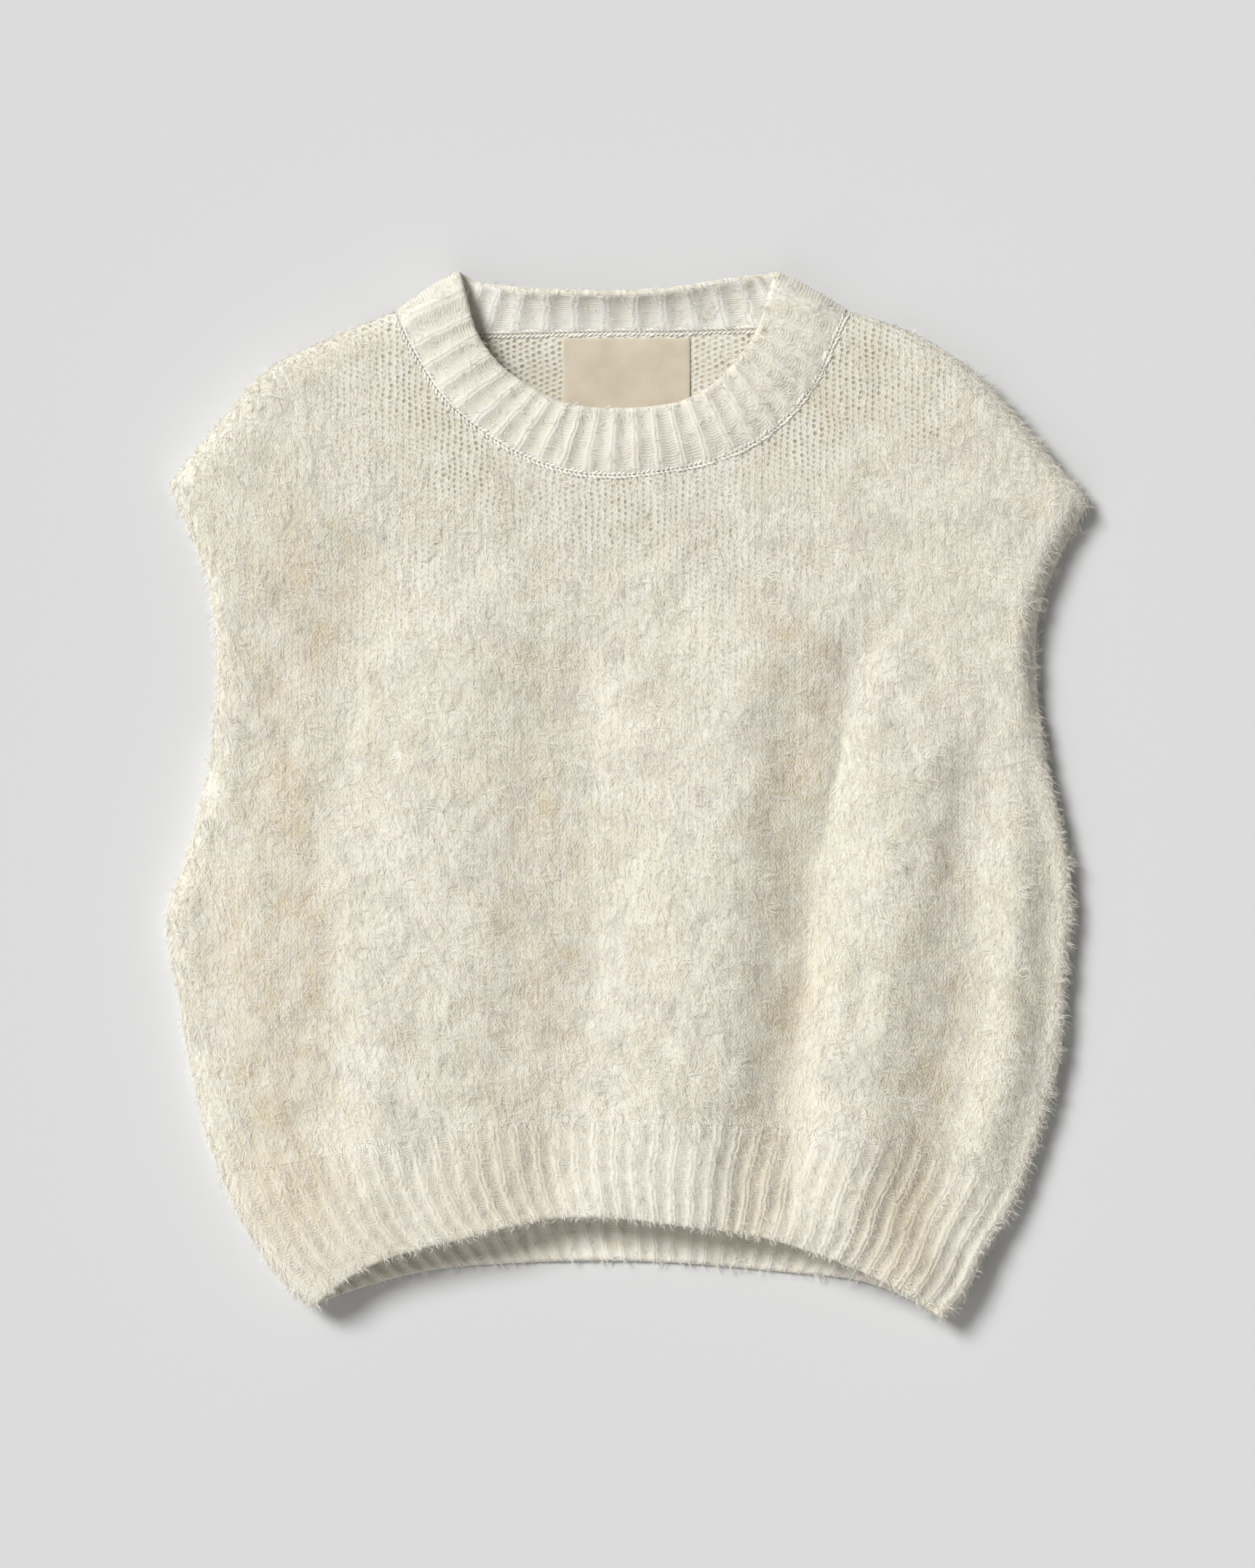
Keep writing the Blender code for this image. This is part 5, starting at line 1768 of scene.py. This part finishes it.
@dataclass
class SeamChain:
    """The chain of stitches along a seam, made along a curve with Geometry Nodes."""

    thread: bpy.types.Material

    def link_shape(self) -> bpy.types.Object:
        """One leg pair of a chain stitch, of length about 1 along +X."""
        mesh = bpy.data.meshes.new("chain_link")
        shape = bmesh.new()
        for side in (-1.0, 1.0):
            made = bmesh.ops.create_icosphere(shape, subdivisions=1, radius=0.5)
            for vertex in made["verts"]:
                x, y, z = vertex.co
                x, y, z = x * 1.5, y * 0.52, z * 0.52
                turn = side * 0.42
                vertex.co = (
                    x * math.cos(turn) - y * math.sin(turn),
                    x * math.sin(turn) + y * math.cos(turn) + side * 0.34,
                    z,
                )
        shape.to_mesh(mesh)
        shape.free()
        mesh.shade_smooth()
        link = bpy.data.objects.new("chain_link", mesh)
        bpy.context.scene.collection.objects.link(link)
        return link

    def tree(self, link: bpy.types.Object) -> Tree:
        """The tree: points along the curve, and a link on each."""
        tree = Tree("seam_chain", ("Spacing", "Size"))
        given = tree.given
        curve = tree.node("GeometryNodeMeshToCurve", {0: given["Geometry"]}).outputs[0]
        line = {"Curve": curve, "Length": given["Spacing"]}
        points = tree.node("GeometryNodeCurveToPoints", line, mode="LENGTH")
        axes = tree.node(
            "FunctionNodeAxesToRotation",
            {"Primary Axis": points.outputs["Tangent"], "Secondary Axis": (0.0, 0.0, 1.0)},
            primary_axis="X",
            secondary_axis="Z",
        )
        vary = {2: 0.75, 3: 1.2, "Seed": given["Seed"]}
        vary = tree.node("FunctionNodeRandomValue", vary, data_type="FLOAT").outputs[1]
        place = tree.node(
            "GeometryNodeInstanceOnPoints",
            {
                "Points": points.outputs["Points"],
                "Instance": tree.shape(link),
                "Rotation": axes.outputs[0],
                "Scale": tree.number("MULTIPLY", vary, given["Size"]),
            },
        )
        links = tree.node("GeometryNodeRealizeInstances", {0: place.outputs[0]})
        tree.finish(links.outputs[0], self.thread)
        return tree

    def along(
        self, name: str, lines: Sequence[np.ndarray], spacing: float, size: float
    ) -> bpy.types.Object:
        """A chain along each line of points.

        Args:
            name: of the piece.
            lines: points, one array a line.
            spacing: of the links.
            size: of a link.

        Returns:
            One plain mesh piece.
        """
        link = self.link_shape()
        mesh = bpy.data.meshes.new(name)
        edges, start = [], 0
        for line in lines:
            edges += [(start + n, start + n + 1) for n in range(len(line) - 1)]
            start += len(line)
        mesh.from_pydata(np.concatenate(lines).tolist(), edges, [])
        settings = {"Spacing": spacing, "Size": size, "Seed": 5}
        piece = self.tree(link).apply(mesh, name, settings)
        bpy.data.objects.remove(link)
        return piece


@dataclass
class Studio:
    """Floor, soft light and camera."""

    frame_length: float = 0.8193  # what the photograph's long side spans
    distance: float = 2.6
    look_height: float = 0.012
    center: tuple[float, float] = (-0.0020, 0.0056)
    sensor: float = 36.0

    def floor(self) -> None:
        """A pale floor just under the garment."""
        mesh = bpy.data.meshes.new("floor")
        reach = 4.0
        corners = [(-reach, -reach), (reach, -reach), (reach, reach), (-reach, reach)]
        mesh.from_pydata([(x, y, -0.0003) for x, y in corners], [], [(0, 1, 2, 3)])
        mesh.materials.append(Floor().make())
        floor = bpy.data.objects.new("floor", mesh)
        bpy.context.scene.collection.objects.link(floor)

    def lights(self) -> None:
        """A soft light from the upper left, a weak one from below, and an even sky."""
        for name, energy, spread, color, aim in (
            ("key", 2.90, 21, (1.0, 0.998, 1.0), (0.56, -0.47, -0.80)),
            ("fill", 0.64, 60, (1.0, 0.985, 0.96), (0.44, 0.59, -0.68)),
        ):
            data = bpy.data.lights.new(name, "SUN")
            data.energy, data.color = energy, color
            data.angle = math.radians(spread)
            light = bpy.data.objects.new(name, data)
            light.rotation_mode = "QUATERNION"
            light.rotation_quaternion = Vector(aim).to_track_quat("-Z", "Y")
            bpy.context.scene.collection.objects.link(light)
        world = bpy.data.worlds.new("even_sky")
        world.use_nodes = True
        sky = world.node_tree.nodes["Background"]
        sky.inputs["Color"].default_value = (1.0, 0.975, 0.945, 1.0)
        sky.inputs["Strength"].default_value = 0.142
        bpy.context.scene.world = world

    def camera(self) -> None:
        """A camera straight above, framed as the photograph."""
        data = bpy.data.cameras.new("camera")
        data.sensor_width = self.sensor
        data.lens = self.sensor * (self.distance - self.look_height) / self.frame_length
        camera = bpy.data.objects.new("camera", data)
        camera.location = (*self.center, self.distance)
        bpy.context.scene.collection.objects.link(camera)
        bpy.context.scene.camera = camera

    def set_up(self) -> None:
        """Puts all three in the scene."""
        self.floor()
        self.lights()
        self.camera()
        bpy.context.scene.view_settings.view_transform = "Standard"


@dataclass
class Pullover:
    """All pieces of the garment."""

    plan: GarmentPlan = field(default_factory=GarmentPlan)
    front_grid: tuple[int, int, int, int] = (34, 84, 132, 14)
    back_grid: tuple[int, int, int, int] = (22, 56, 78, 14)

    def origin(self) -> np.ndarray:
        """Where the plan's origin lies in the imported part, read from the label's solid."""
        low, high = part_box("neck_label")
        label = Label(Layers(self.plan), np.zeros(2))
        return np.array([(low.x + high.x) / 2 - label.middle_x, high.y - label.top_y])

    def build(self) -> None:
        """Builds, dresses and registers every piece."""
        layers, origin = Layers(self.plan), self.origin()
        knit = PlainKnit("brushed_knit", Side.KNIT).make()
        purl = PlainKnit("purl_side", Side.PURL).make()
        hem_pitch = HemRibs.width / HemRibs.ribs
        hem_rib = RibKnit(
            "hem_rib_knit", hem_pitch, crisp=0.62, leg_place=0.13, ridge_edge=0.36, relief=0.0006
        ).make()
        # Painted light: lighter copies of the wool colours for the inner faces, which lie in shade;
        # the hem bands' inside is also warmer.
        lit_inside_colors = WoolColors(
            lit=(0.97, 0.95, 0.89), body=(0.955, 0.93, 0.855), painted_shade=(0.72, 0.65, 0.52)
        )
        lit_warm_inside_colors = replace(lit_inside_colors, body=(0.93, 0.875, 0.75))
        # The hem bands' inside, in painted light.
        hem_back_rib = RibKnit(
            "hem_rib_back_knit", hem_pitch, crisp=0.40, colors=lit_warm_inside_colors
        ).make()
        neck_rib = RibKnit("neck_rib_knit", NeckBand.pitch, crisp=0.62).make()
        # The neckband's inside, in painted light.
        neck_rib_inside = RibKnit(
            "neck_rib_inside", NeckBand.pitch, counter=True, crisp=0.55, colors=lit_inside_colors
        ).make()
        wool = LooseHair("loose_wool").make()
        hair = HairMaker(wool)
        hair.prepare()
        panels = Panels(layers, origin, knit, purl)
        front_rib = layers.rib_line(self.plan.front_rib_line)
        back_rib = layers.rib_line(self.plan.back_rib_line)
        front_patch = panels.patch(layers.front_neck, front_rib, layers.cloth_height)
        back_patch = panels.patch(layers.back_neck, back_rib, layers.back_height)

        across, up = panels.across(*self.front_grid[:2]), panels.up(*self.front_grid[2:])
        wall = panels.fit_to_band(panels.wall(front_patch, across, up, 1, front_rib), 1)
        front = wall.build("front_body", knit, purl)
        across, up = panels.across(*self.back_grid[:2]), panels.up(*self.back_grid[2:])
        wall = panels.fit_to_band(panels.wall(back_patch, across, up, -1, back_rib), -1)
        back = wall.build("back_body", knit, purl)
        register(front, "knit", "front_panel")
        register(back, "knit", "back_panel")

        hems = HemRibs(layers, origin)
        hem_front = hems.wall(self.plan.front_hem, front_rib, layers.cloth_height, 1).build(
            "front_hem_ribs", hem_rib, hem_back_rib
        )
        hem_back = hems.wall(self.plan.back_hem, back_rib, layers.back_height, -1).build(
            "back_hem_ribs", hem_rib, hem_back_rib
        )
        register(hem_front, "rib_knit", "hem_rib_front")
        register(hem_back, "rib_knit", "hem_rib_back")

        bands = NeckBand(layers, origin)
        band_wall = bands.wall(panels, front_patch, back_patch)
        band = band_wall.build("neck_band", neck_rib, neck_rib_inside)
        register(band, "rib_knit", "neckband")

        satin = Satin("label_satin").make()
        label = Label(layers, origin).wall().build("label_strip", satin, satin)
        register(label, "label_satin", "neck_label")

        chain = SeamChain(wool)
        count = bands.front_ribs * bands.stations + 6
        seam = band_wall.middle[:, 0] + band_wall.normals[:, 0] * 0.0015
        inside = band_wall.middle[:, 0] - band_wall.normals[:, 0] * 0.0016
        lines = [seam[6 : count - 6], inside[count + 8 : -8]]
        neck_chain = chain.along("neck_seam_stitches", lines, spacing=0.0025, size=0.0032)
        register(neck_chain, "rib_knit")

        coats = (
            (front, Coat("front_hairs_a", 82000, 0.0100, 80, 110, 11)),
            (front, Coat("front_hairs_b", 82000, 0.0085, 78, 178, 12)),
            (back, Coat("back_hairs", 26000, 0.0070, 78, 170, 13)),
            (hem_front, Coat("front_hem_hairs", 120000, 0.0066, 80, 95, 14)),
            (hem_back, Coat("back_hem_hairs", 50000, 0.0070, 78, 150, 15)),
            (band, Coat("neck_hairs", 100000, 0.0062, 79, 170, 16)),
        )
        for surface, coat in coats:
            piece = hair.grow(surface, coat)
            register(piece, "rib_knit" if "hem" in coat.name or "neck" in coat.name else "knit")
        hair.clear()


def main() -> None:
    """Builds the garment and the studio."""
    logging.basicConfig(level=logging.INFO, format="%(name)s: %(message)s")
    Pullover().build()
    Studio().set_up()


if __name__ == "__main__":
    main()
